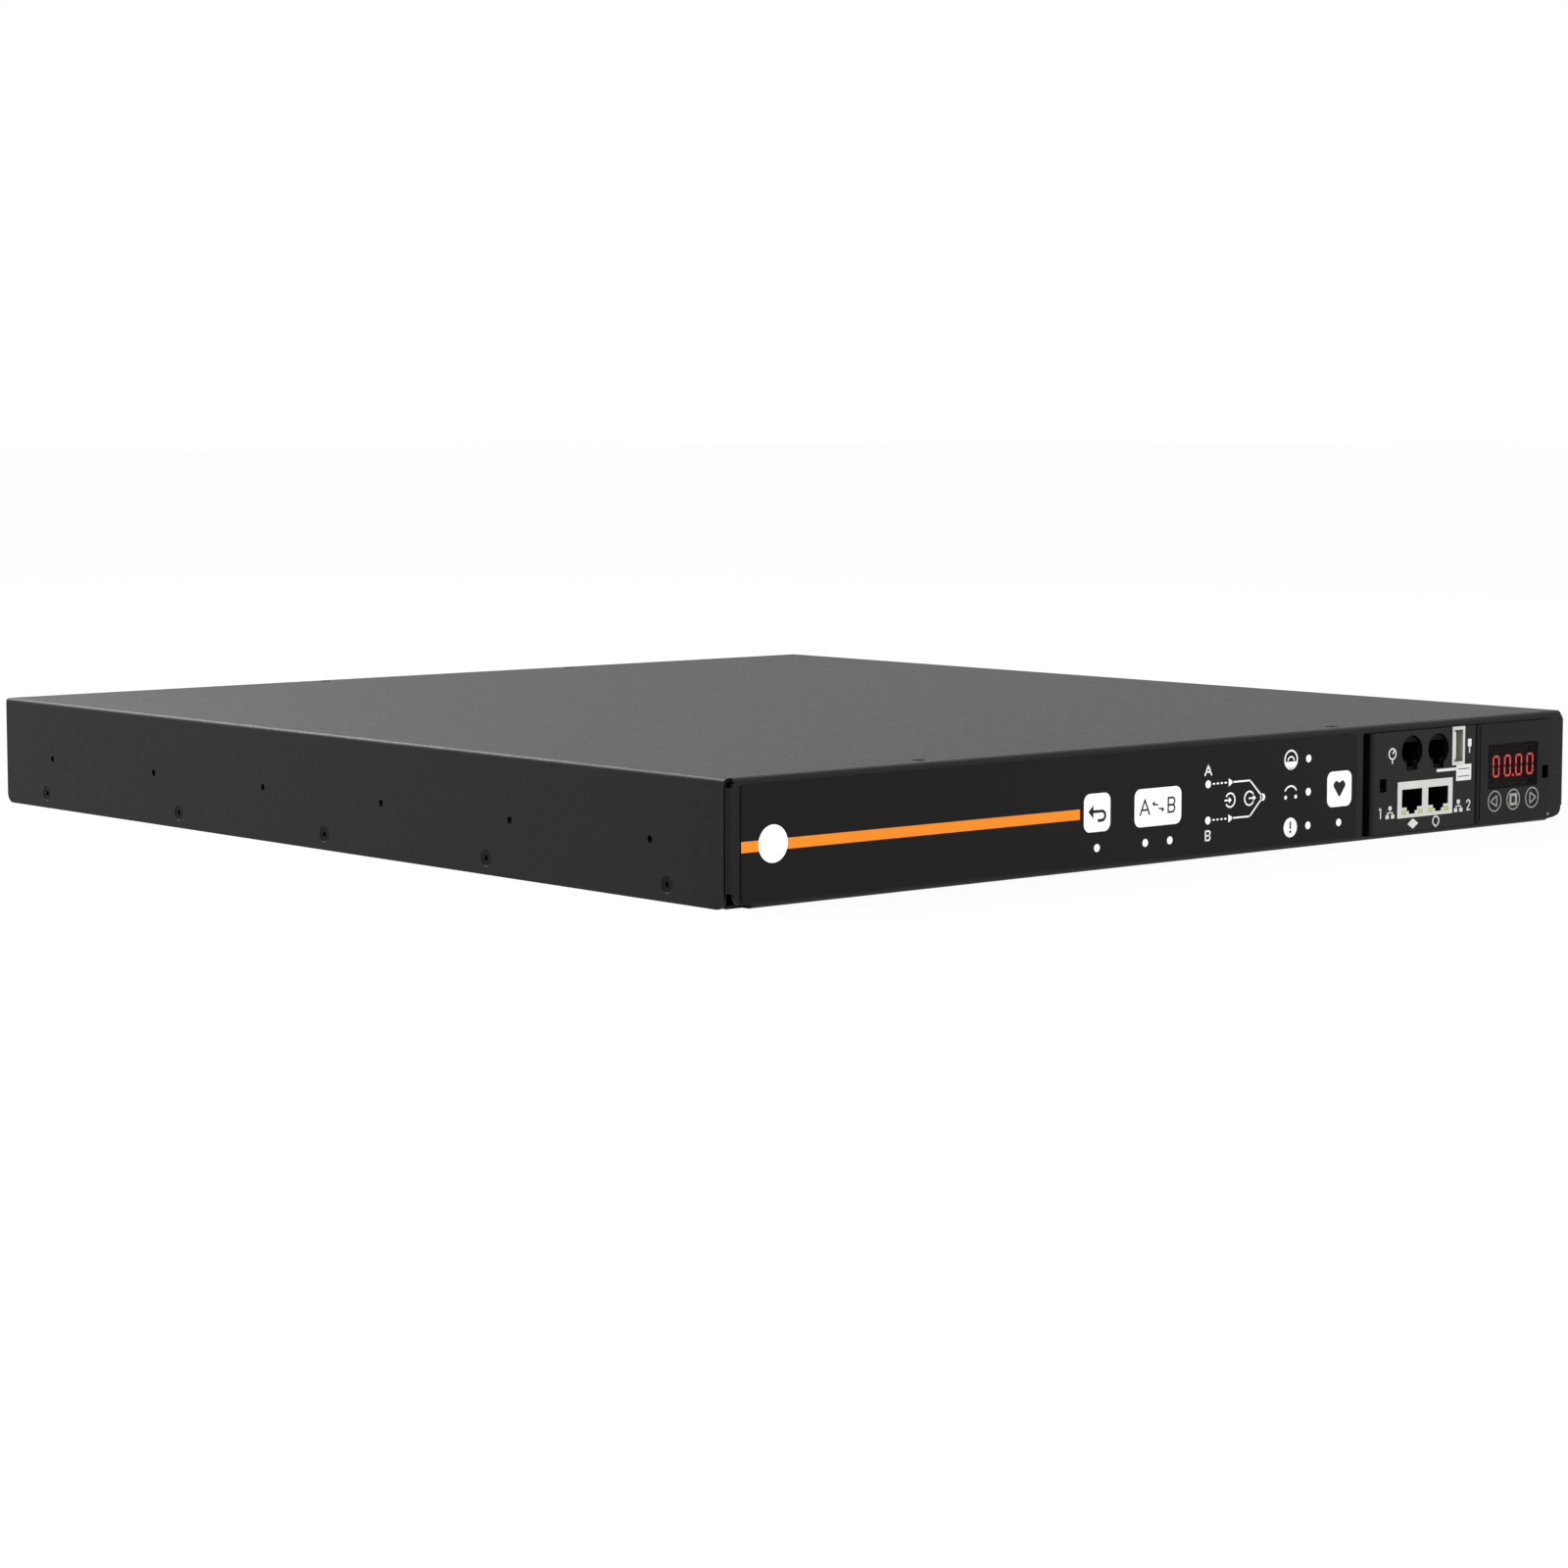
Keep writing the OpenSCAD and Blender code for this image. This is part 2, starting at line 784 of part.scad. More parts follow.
module network_shield() {
    y0 = face_y - 0.3;
    s = net_size;
    color("#b9b9b4") difference() {
        along_y(y0, port_board_y) translate([port_x0 + net_at.x, net_at.y]) square(s, center = true);
        along_y(y0 + net_wall, port_board_y + 1) {
            translate([port_x0 + net_at.x, net_at.y]) {
                square([s.x - 2 * net_wall, s.y - 2 * net_wall], center = true);
            }
        }
        along_y(y0 - 1, y0 + net_wall + 1) at_net_cavities() {
            net_cavity_outline();
            lamp_windows(net_lamp);
        }
    }
}

module network_body() {
    y0 = face_y - 0.3 + net_wall;
    s = [net_size.x - 2 * net_wall - 0.1, net_size.y - 2 * net_wall - 0.1];
    color("#1a1a1a") difference() {
        along_y(y0, port_board_y) translate([port_x0 + net_at.x, net_at.y]) square(s, center = true);
        along_y(y0 - 1, y0 + net_depth) at_net_cavities() net_cavity_outline();
        along_y(y0 - 1, y0 + net_lamp_d) at_net_cavities() lamp_windows(net_lamp);
    }
}

module network_contacts() {
    y0 = face_y - 0.3 + net_wall;
    pitch = 1.02;
    color("gold") for (side = [-1, 1]) {
        for (i = [0:7]) {
            x = port_x0 + net_at.x + side * net_pitch / 2 + (i - 3.5) * pitch;
            translate([x, 0, net_at.y + net_top]) along_x(-0.2, 0.2) {
                polygon([[y0 + 2, 0], [y0 + 2, -0.4], [y0 + net_depth, -2.6], [y0 + net_depth, 0]]);
            }
        }
    }
}

module network_lamps() {
    y0 = face_y - 0.3;
    color("#9fc27a") along_y(y0 + 0.1, y0 + net_wall + net_lamp_d) at_net_cavities() {
        lamp_windows(net_lamp - [0.1, 0.1]);
    }
}

// A sensor jack behind the port plate: a black block with a latch cavity
module sensor_jack(p) {
    y0 = behind_plate;
    translate([port_x0 + p.x, 0, p.y]) color("#111111") difference() {
        along_y(y0, port_board_y) {
            translate([-sensor_body.x / 2, -sensor_drop]) square([sensor_body.x, sensor_body.y]);
        }
        along_y(y0 - 1, y0 + sensor_depth) {
            square(sensor_cavity, center = true);
            translate([-2, -6]) square([4, 3]);
        }
    }
}

module usb_shell() {
    x = port_x0 + usb_at.x;
    y0 = face_y - 0.4;
    outer = usb_size;
    inner = usb_size - 2 * [usb_wall, usb_wall];
    color("#c8c8c4") difference() {
        union() {
            along_y(y0, port_board_y) translate([x, usb_at.y]) square(outer, center = true);
            along_y(y0, face_y) {
                translate([x, usb_at.y]) square(outer + 2 * [usb_lip, usb_lip], center = true);
            }
        }
        along_y(y0 - 1, port_board_y - usb_wall) translate([x, usb_at.y]) square(inner, center = true);
    }
}

module usb_tongue() {
    x = port_x0 + usb_at.x - usb_size.x / 2 + usb_wall;
    y0 = face_y + 0.8;
    y1 = port_board_y - usb_wall;
    color("white") {
        block([x + 0.5, y0, usb_at.y - 5.4], [x + 2.3, y1, usb_at.y + 5.4]);
        block([x, y1 - 3, usb_at.y - 5.9], [x + 4.8, y1, usb_at.y + 5.9]);
    }
}

module display_lens() {
    color([0.1, 0.01, 0.01, 0.6]) {
        along_y(face_y - disp_film_t, behind_plate) {
            translate([disp_x0 + lens_at.x, lens_at.y]) square(lens_size, center = true);
        }
        along_y(behind_plate, behind_plate + 1) {
            translate([disp_x0 + lens_at.x, lens_at.y]) square(lens_size + [3, 1.6], center = true);
        }
    }
}

// The lit bars of a nought: two uprights each side and a bar at the top and bottom
module nought_2d() {
    w = digit_w - seg_w;
    h = digit_h - seg_w;
    g = 0.15;
    for (sx = [-1, 1]) {
        for (sy = [-1, 1]) {
            translate([sx * w / 2, sy * h / 4]) segment_2d(h / 2 - g);
        }
    }
    for (sy = [-1, 1]) {
        translate([0, sy * h / 2]) rotate(90) segment_2d(w - g);
    }
}

// One bar with pointed ends, standing upright
module segment_2d(len) {
    a = len / 2;
    b = seg_w / 2;
    polygon([[0, -a], [b, b - a], [b, a - b], [0, a], [-b, a - b], [-b, b - a]]);
}

module digit_marks() {
    translate([disp_x0 + lens_at.x, lens_at.y]) {
        for (x = digit_x) {
            translate([x, 0]) nought_2d();
        }
        translate([0, 0.7 - digit_h / 2]) circle(d = 1.2);
    }
}

module digit_block() {
    x = disp_x0 + lens_at.x;
    color("#1a1a1a") difference() {
        along_y(digit_face, display_board_y) {
            translate([x, lens_at.y]) square(digit_block_size, center = true);
        }
        along_y(digit_face - 1, digit_face + seg_depth) digit_marks();
    }
}

module digit_segments() {
    color("red") along_y(digit_face, digit_face + seg_depth) digit_marks();
}

module module_plug() {
    color("#1a1a1a") block([port_x0 + 14, port_board_y + board_t, 16],
        [port_x0 + 50, face_y + module_d - frame_t + 3, 24]);
}

module module_socket() {
    y0 = face_y + module_d - frame_t + 3;
    color("#d8d8d0") {
        block([port_x0 + 12, y0, 14], [port_x0 + 52, y0 + 9, 26]);
        block([port_x0 + 20, y0 + 2, sheet_t], [port_x0 + 44, y0 + 7, 14]);
    }
}

// ---------- rear connectors ----------

// One outlet's groove round its core, its blade slots and the contact pockets behind them,
// cut from a body whose face is at y = 0
module outlet_cuts(ring, core, cut, slots, slot) {
    along_y(-small_depth, 1) difference() {
        mains_outline(ring, cut + 0.8);
        mains_outline(core, cut);
    }
    for (p = slots) {
        along_y(-slot_d, 1) translate(p) square(slot, center = true);
        along_y(-small_body_d - lip_t - 1, -slot_d) translate(p) {
            square(slot + [pocket_play, pocket_play], center = true);
        }
    }
}

module outlet_bank(i) {
    x = left + bank_x + i * bank_pitch;
    color("#151515") difference() {
        union() {
            along_y(wall_back, connector_y) {
                translate([x, rear_z]) square([bank_body_w + 4, small_face_h], center = true);
            }
            along_y(body_back, wall_back) {
                translate([x, rear_z]) square([bank_body_w, bank_body_h], center = true);
            }
        }
        for (dx = outlet_places()) {
            translate([x + dx, connector_y, rear_z]) {
                outlet_cuts(small_ring, small_core, small_cut, small_slots, small_slot);
            }
        }
    }
}

// Places of the outlets of one bank, from its centre
function outlet_places() = [for (k = [0:outlets_n - 1]) (k - (outlets_n - 1) / 2) * outlet_pitch];

// A spring clip that grips one blade: two leaves joined at the back
module clip(w, h, y0, y1) {
    leaf = 0.7;
    difference() {
        block([-w / 2, y0, -h / 2], [w / 2, y1, h / 2]);
        block([leaf - w / 2, y0 + leaf, -h / 2 - 1], [w / 2 - leaf, y1 + 1, h / 2 + 1]);
    }
}

// The three strips that join the contacts of one bank: line and neutral reach the floor side
// and the bar above, earth runs behind them
module strips(i) {
    strip_t = 1;
    strip_w = 3;
    band = 4;
    reach = bar_z - rear_z;
    y0 = body_back - 2;
    y_earth = body_back - 6;
    hw = strip_w / 2;
    span = (outlets_n - 1) / 2 * outlet_pitch + hw;
    blade_z = small_slots[0].y;
    translate([left + bank_x + i * bank_pitch, 0, rear_z]) color("#c9a24a") {
        for (side = [-1, 1]) {
            end = side * reach;
            inner = side * (reach - band);
            x = side * small_slots[1].x;
            for (dx = outlet_places()) {
                translate([x + dx, 0, blade_z]) clip(strip_w, 5.4, y0, contact_tip);
                block([x + dx - hw, y0, min(blade_z, end)], [x + dx + hw, y0 + strip_t, max(blade_z, end)]);
            }
            block([x - span, y0, min(inner, end)], [x + span, y0 + strip_t, max(inner, end)]);
        }
        translate([0, 0, small_slots[2].y]) {
            for (dx = outlet_places()) {
                translate([dx, 0, 0]) clip(strip_w, 5.4, y_earth, contact_tip);
            }
            block([-span, y_earth, -band / 2], [span, y_earth + strip_t, band / 2]);
        }
    }
}

module large_outlet() {
    x = left + large_x;
    color("#151515") difference() {
        union() {
            along_y(wall_back, connector_y) translate([x, rear_z]) square(large_face, center = true);
            along_y(body_back, wall_back) translate([x, rear_z]) square(large_body, center = true);
        }
        translate([x, connector_y, rear_z]) {
            outlet_cuts(large_ring, large_core, large_cut, large_slots, large_slot);
        }
    }
}

module large_contacts() {
    color("#c9a24a") for (p = large_slots) {
        translate([left + large_x + p.x, 0, rear_z + p.y]) rotate([0, 90, 0]) {
            clip(3.4, 9, body_back - 5, contact_tip);
        }
    }
}

module inlet(i) {
    head_d = 6.6;
    sink = 1.8;
    translate([left + inlet_x + i * inlet_pitch, 0, rear_z]) color("#151515") difference() {
        union() {
            along_y(wall_back, connector_y) round_rect(inlet_face, 3);
            along_y(wall_back - inlet_body.z, wall_back) square([inlet_body.x, inlet_body.y], center = true);
        }
        along_y(connector_y - inlet_depth, connector_y + 1) mains_outline(inlet_cavity, large_cut);
        for (p = large_slots) {
            along_y(wall_back - inlet_body.z - 1, connector_y) {
                translate(p) square(blade + 2 * [EPS, EPS], center = true);
            }
        }
        for (side = [-1, 1]) {
            translate([side * inlet_hole_x, connector_y - sink, 0]) rotate([-90, 0, 0]) {
                cylinder(d1 = screw_d + 0.4, d2 = head_d, h = sink + EPS);
                translate([0, 0, -1]) cylinder(d = screw_d + 0.4, h = 1 + EPS);
            }
        }
    }
}

module inlet_pins(i) {
    y0 = wall_back - inlet_body.z - blade_tail;
    translate([left + inlet_x + i * inlet_pitch, 0, rear_z]) color("#c8c8c4") for (p = large_slots) {
        along_y(y0, connector_y - blade_inset) translate(p) square(blade, center = true);
    }
}

// A cross recess cut into a screw head, from z = 0 upwards
module cross_recess(len, w, depth) {
    for (a = [0, 90]) {
        rotate(a) translate([-len / 2, -w / 2, 0]) cube([len, w, depth]);
    }
}

module inlet_screws() {
    head_h = 1.6;
    sunk = 0.1;
    reach = 8;
    color("silver") for (i = [0, 1]) {
        for (side = [-1, 1]) {
            x = left + inlet_x + i * inlet_pitch + side * inlet_hole_x;
            translate([x, connector_y - sunk, rear_z]) rotate([-90, 0, 0]) difference() {
                union() {
                    translate([0, 0, -head_h]) cylinder(d1 = screw_d, d2 = 6, h = head_h);
                    translate([0, 0, -reach]) cylinder(d = screw_d, h = reach - head_h + EPS);
                }
                translate([0, 0, -0.7]) cross_recess(3.2, 0.6, 1);
            }
        }
    }
}

// The stud: a flange inside the wall, a thick root and a thinner free end for an earth lead
module earth_stud() {
    y_nut = wall_back + earth_washer_t + earth_nut_t;
    tip = 0.6;
    color("#b8a060") translate([left + earth_x, 0, earth_z]) {
        rod_y(0, 0, 9, wall_front - 2, wall_front);
        rod_y(0, 0, earth_root_d, wall_front - 2, y_nut);
        rod_y(0, 0, earth_d, wall_front - 2, y_nut + earth_len - tip);
        translate([0, y_nut + earth_len - tip, 0]) rotate([-90, 0, 0]) {
            cylinder(d1 = earth_d, d2 = earth_d - 2 * tip, h = tip);
        }
    }
}

module earth_washer() {
    color("silver") translate([left + earth_x, 0, earth_z]) difference() {
        rod_y(0, 0, 12, wall_back, wall_back + earth_washer_t);
        rod_y(0, 0, earth_root_d + 0.3, wall_back - 1, wall_back + 2);
    }
}

module earth_nut() {
    y0 = wall_back + earth_washer_t;
    color("silver") translate([left + earth_x, y0, earth_z]) difference() {
        rotate([-90, 0, 0]) intersection() {
            cylinder(d = 11.55, h = earth_nut_t, $fn = 6);
            cylinder(d1 = 12.2, d2 = 10.6, h = earth_nut_t);
        }
        rod_y(0, 0, earth_root_d + 2 * thread_play, -1, earth_nut_t + 1);
    }
}

// ---------- power path inside ----------

module line_filter(i) {
    x = left + inlet_x + i * inlet_pitch;
    s = filter_size;
    y0 = filter_y1 - s.y;
    color("#b4b8ba") difference() {
        union() {
            along_y(y0, filter_y1) translate([x, sheet_t + s.z / 2]) round_rect([s.x, s.z], 2);
            block([x - s.x / 2 + 6, y0 - 6, sheet_t], [x + s.x / 2 - 6, y0 + 2, sheet_t + 1.5]);
        }
        rod_z(x, y0 - 3, 3.4, sheet_t - 1, 5);
        rod_z(x, filter_post_y, post_d + 2 * thread_play, s.z - 10, s.z + 5);
    }
}

module input_leads(i) {
    x = left + inlet_x + i * inlet_pitch;
    color(i == 0 ? "#7a4a2a" : "#2a4a8a") for (p = large_slots) {
        rod_y(x + p.x, rear_z + p.y, 4, filter_y1, wall_back - inlet_body.z - blade_tail);
    }
}

module heat_sink(x) {
    s = sink_size;
    color("#a8acb0") along_y(sink_y0, sink_y0 + s.y) translate([x, sheet_t]) {
        translate([-s.x / 2, 0]) square([s.x, sink_base]);
        for (side = [-1, 1]) {
            for (i = [0:fins_n - 1]) {
                translate([side * (s.x / 2 - fin_t / 2 - i * fin_pitch) - fin_t / 2, 0]) {
                    square([fin_t, sink_h]);
                }
            }
        }
    }
}

// A thyristor module: metal base, black body and three stepped terminal places
module thyristor(x) {
    z0 = sheet_t + sink_base;
    s = scr_size;
    y0 = sink_y0 + (sink_size.y - s.y) / 2;
    color("#222222") difference() {
        union() {
            block([x - s.x / 2, y0, z0], [x + s.x / 2, y0 + s.y, z0 + 9]);
            block([x - 10, y0 + 12, z0 + 9 - EPS], [x + 10, y0 + s.y - 6, z0 + s.z - 3]);
            for (i = [0:2]) {
                block([x - 9, scr_y(i) - 8, z0 + s.z - 3 - EPS], [x + 9, scr_y(i) + 8, z0 + s.z]);
            }
        }
        for (i = [0:2]) {
            rod_z(x, scr_y(i), post_d + 2 * thread_play, z0 + s.z - 10, z0 + s.z + 1);
        }
    }
}

function scr_y(i) = sink_y0 + (sink_size.y - scr_size.y) / 2 + (i + 1) * scr_pitch;

// Places of the terminal screws of the bars
function bar_screws() = concat(
    [for (x = [sink_a_x, sink_b_x]) for (i = [0, 2]) [x, scr_y(i)]],
    [for (i = [0, 1]) [left + inlet_x + i * inlet_pitch, filter_post_y]]);

// A flat copper bar that runs along Y at x0, across at y1 and along Y again at x1
module cranked_bar(x0, y0, y1, x1, y2) {
    h = bar_w / 2;
    along_z(bar_z, bar_z + bar_t) {
        translate([x0 - h, y0 - h]) square([bar_w, y1 - y0 + bar_w]);
        translate([min(x0, x1) - h, y1 - h]) square([abs(x1 - x0) + bar_w, bar_w]);
        translate([x1 - h, y1 - h]) square([bar_w, y2 - y1 + bar_w]);
    }
}

// Flat copper bars that join the filters, the thyristors and the outlets
module link_bars() {
    h = bar_w / 2;
    y_bank = body_back - 1;
    x_out = sink_b_x + out_run;
    color("#b8683a") difference() {
        union() {
            cranked_bar(sink_a_x, scr_y(2), scr_y(2) + 20, left + inlet_x, filter_post_y);
            cranked_bar(sink_b_x, scr_y(2), scr_y(2) + 38, left + inlet_x + inlet_pitch,
                filter_post_y);
            cranked_bar(sink_a_x, scr_y(0), scr_y(0), x_out, y_bank - h);
            along_z(bar_z, bar_z + bar_t) {
                translate([left + large_x, y_bank - bar_w]) {
                    square([bank_x + bank_pitch - large_x + outlet_pitch, bar_w]);
                }
            }
        }
        for (p = bar_screws()) {
            rod_z(p.x, p.y, 4.4, bar_z - 1, bar_z + 4);
        }
    }
}

module terminal_screws() {
    head_z = bar_z + bar_t;
    head_h = 2.6;
    color("silver") for (p = bar_screws()) {
        translate([p.x, p.y, 0]) difference() {
            union() {
                rod_z(0, 0, post_d, bar_z - 8, head_z + EPS);
                rod_z(0, 0, 2 * post_d, head_z, head_z + head_h);
            }
            translate([0, 0, head_z + head_h / 2]) cross_recess(4.8, 0.8, head_h);
        }
    }
}

// Places of a board's four fixings
function deck_corners(xs, ys) = [
    for (x = [xs[0] + deck_hole_inset, xs[1] - deck_hole_inset])
        for (y = [ys[0] + deck_hole_inset, ys[1] - deck_hole_inset]) [x, y]];

module deck(xs, ys) {
    difference() {
        block([xs[0], ys[0], deck_z], [xs[1], ys[1], deck_z + board_t]);
        for (p = deck_corners(xs, ys)) {
            rod_z(p.x, p.y, deck_hole_d, deck_z - 1, deck_z + board_t + 1);
        }
    }
}

module power_board() {
    color("#0f4d2e") deck(power_x, power_y);
}

// The flat cable between the key board and the logic board, with a slack fold
module flat_cable() {
    y0 = control_y + board_t + header_d;
    y1 = logic_header_y;
    rise = 6;
    t = cable_t;
    m = (y0 + y1) / 2;
    color("#9a9a98") along_x(-cable_w / 2, cable_w / 2) translate([0, cable_z - t / 2]) {
        polygon([[y0, 0], [m - rise - 1, 0], [m - 1, rise], [m + 1, rise], [m + rise + 1, 0], [y1, 0],
            [y1, t], [m + rise + 1 + t / 2, t], [m + 1 + t / 2, rise + t], [m - 1 - t / 2, rise + t],
            [m - rise - 1 - t / 2, t], [y0, t]]);
    }
}

// The sensor that the output bar passes through
module current_sensor() {
    play = 0.2;
    d = sensor_size.y;
    hw = sensor_size.x / 2;
    hb = bar_w / 2 + play;
    color("#2d4f86") translate([sink_b_x + out_run, sensor_y, 0]) difference() {
        block([-hw, 0, deck_z + board_t], [hw, d, bar_z + bar_t + 4]);
        block([-hb, -1, bar_z - play], [hb, d + 1, bar_z + bar_t + play]);
    }
}

module logic_board() {
    z = deck_z + board_t;
    color("#0f4d2e") deck(logic_x, logic_y);
    color("#d8d8d0") block([-cable_w / 2 - 2, logic_header_y, z - EPS],
        [cable_w / 2 + 2, logic_header_y + header_d, cable_z + 2]);
    color("#1a1a1a") for (c = chips) {
        block([c[0], c[1], z - EPS], [c[0] + c[2], c[1] + c[3], z + c[4]]);
    }
}

module supply_blocks() {
    z = deck_z + board_t;
    s = supply_size;
    core = [4, 8];
    core_h = 3;
    color("#e0b040") for (p = supplies) {
        translate([p.x, p.y, z]) {
            cube(s);
            translate([core.x, core.y, s.z - EPS]) cube([s.x - 2 * core.x, s.y - 2 * core.y, core_h]);
        }
    }
}

module capacitors() {
    z = deck_z + board_t;
    color("#303a5a") for (x = capacitor_x) {
        for (y = capacitor_y) {
            rod_z(x, y, capacitor_size.x, z, z + capacitor_size.y);
        }
    }
}

module standoffs() {
    color("silver") for (p = concat(deck_corners(power_x, power_y), deck_corners(logic_x, logic_y))) {
        rod_z(p.x, p.y, 6, sheet_t, deck_z);
        rod_z(p.x, p.y, 3, deck_z - EPS, deck_z + board_t + EPS);
        rod_z(p.x, p.y, 5.6, deck_z + board_t, deck_z + board_t + 2);
    }
}

tray();
cover();
cover_screws();
bracket_nuts();
key_film();
control_board();
panel_studs();
panel_nuts();
panel_lamps();
snap_domes();
port_plate();
display_plate();
display_film();
module_frame();
port_board();
display_board();
network_shield();
network_body();
network_contacts();
network_lamps();
sensor_jack(sensor_at[0]);  // sensor_jack_1
sensor_jack(sensor_at[1]);  // sensor_jack_2
usb_shell();
usb_tongue();
display_lens();
digit_block();
digit_segments();
module_plug();
module_socket();
flat_cable();
current_sensor();
inlet(0);  // inlet_a
inlet(1);  // inlet_b
inlet_pins(0);  // inlet_pins_a
inlet_pins(1);  // inlet_pins_b
inlet_screws();
large_outlet();
large_contacts();
outlet_bank(0);  // outlet_bank_1
outlet_bank(1);  // outlet_bank_2
strips(0);  // strips_1
strips(1);  // strips_2
earth_stud();
earth_washer();
earth_nut();
line_filter(0);  // line_filter_a
line_filter(1);  // line_filter_b
input_leads(0);  // input_leads_a
input_leads(1);  // input_leads_b
heat_sink(sink_a_x);  // heat_sink_a
heat_sink(sink_b_x);  // heat_sink_b
thyristor(sink_a_x);  // thyristor_a
thyristor(sink_b_x);  // thyristor_b
link_bars();
terminal_screws();
power_board();
supply_blocks();
capacitors();
logic_board();
standoffs();
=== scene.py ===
"""Looks of a one-unit rack static transfer switch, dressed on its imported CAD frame.

Lengths are metres in the part's own frame: +X to the right of someone facing the front, +Y to
the rear, +Z up. What is printed on the front is laid out in millimetres from the case's left
side and underside, and each sign about its own centre. MM turns millimetres into metres.
"""

import logging
import math
from abc import ABC, abstractmethod
from collections.abc import Sequence
from dataclasses import dataclass, field
from enum import Enum, IntEnum
from typing import Union

import bmesh
import bpy
from mathutils import Matrix, Vector


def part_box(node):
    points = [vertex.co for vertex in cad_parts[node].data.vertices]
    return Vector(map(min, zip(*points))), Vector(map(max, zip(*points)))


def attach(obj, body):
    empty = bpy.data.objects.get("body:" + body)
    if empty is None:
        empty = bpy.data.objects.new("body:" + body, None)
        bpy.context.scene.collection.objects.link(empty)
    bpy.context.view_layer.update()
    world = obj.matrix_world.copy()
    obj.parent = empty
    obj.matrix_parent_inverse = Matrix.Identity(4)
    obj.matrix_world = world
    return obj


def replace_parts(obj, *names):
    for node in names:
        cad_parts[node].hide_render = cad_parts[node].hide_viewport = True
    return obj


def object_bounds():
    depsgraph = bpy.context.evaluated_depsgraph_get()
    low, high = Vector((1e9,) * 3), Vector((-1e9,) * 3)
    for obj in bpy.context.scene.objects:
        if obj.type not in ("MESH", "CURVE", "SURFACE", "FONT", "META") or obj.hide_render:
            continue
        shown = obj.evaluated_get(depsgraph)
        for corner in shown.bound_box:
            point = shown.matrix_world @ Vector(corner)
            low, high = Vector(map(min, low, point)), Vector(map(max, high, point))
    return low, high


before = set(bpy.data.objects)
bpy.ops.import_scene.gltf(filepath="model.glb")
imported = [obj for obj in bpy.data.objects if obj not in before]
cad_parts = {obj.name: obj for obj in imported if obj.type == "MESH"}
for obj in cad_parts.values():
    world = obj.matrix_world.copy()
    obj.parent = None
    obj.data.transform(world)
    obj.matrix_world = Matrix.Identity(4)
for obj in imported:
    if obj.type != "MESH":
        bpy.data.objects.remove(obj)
CAD_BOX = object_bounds()

LOG = logging.getLogger("transfer_switch")
MM = 0.001
BODY = "root"
QUARTER = math.pi / 2
FULL_TURN = 2 * math.pi

# Sockets of a Mix node that mixes colours
MIX_FACTOR, MIX_A, MIX_B, MIX_RESULT = 0, 6, 7, 2

Colour = tuple[float, float, float]
Point = tuple[float, float]
Value = Union[float, "Wire"]


# ---------------------------------------------------------------- shader wiring


class Wire:
    """A shader socket on which Python arithmetic adds Math nodes."""

    def __init__(self, tree: "Tree", socket: bpy.types.NodeSocket) -> None:
        """Wraps an output socket of a tree."""
        self.tree = tree
        self.socket = socket

    def math(self, operation: str, *values: Value, clamp: bool = False) -> "Wire":
        """Adds one Math node.

        Args:
            operation: The node's operation.
            values: Its inputs, in order.
            clamp: Whether the result is kept from 0 to 1.

        Returns:
            The node's result.
        """
        settings = {"operation": operation, "use_clamp": clamp}
        return self.tree.node("ShaderNodeMath", settings, dict(enumerate(values)))

    def __add__(self, other: Value) -> "Wire":
        """Adds a value or a socket."""
        return self.math("ADD", self, other)

    def __radd__(self, other: Value) -> "Wire":
        """Adds this socket to a value."""
        return self.math("ADD", other, self)

    def __sub__(self, other: Value) -> "Wire":
        """Takes a value or a socket away."""
        return self.math("SUBTRACT", self, other)

    def __rsub__(self, other: Value) -> "Wire":
        """Takes this socket away from a value."""
        return self.math("SUBTRACT", other, self)

    def __mul__(self, other: Value) -> "Wire":
        """Multiplies by a value or a socket."""
        return self.math("MULTIPLY", self, other)

    def __rmul__(self, other: Value) -> "Wire":
        """Multiplies a value by this socket."""
        return self.math("MULTIPLY", other, self)

    def above(self, edge: float, soft: float) -> "Wire":
        """A mask that rises from 0 to 1 as this socket passes an edge.

        Args:
            edge: The value at which the mask begins.
            soft: The width of the rise.

        Returns:
            The mask, kept from 0 to 1.
        """
        return self.math("MULTIPLY", self - edge, 1 / soft, clamp=True)


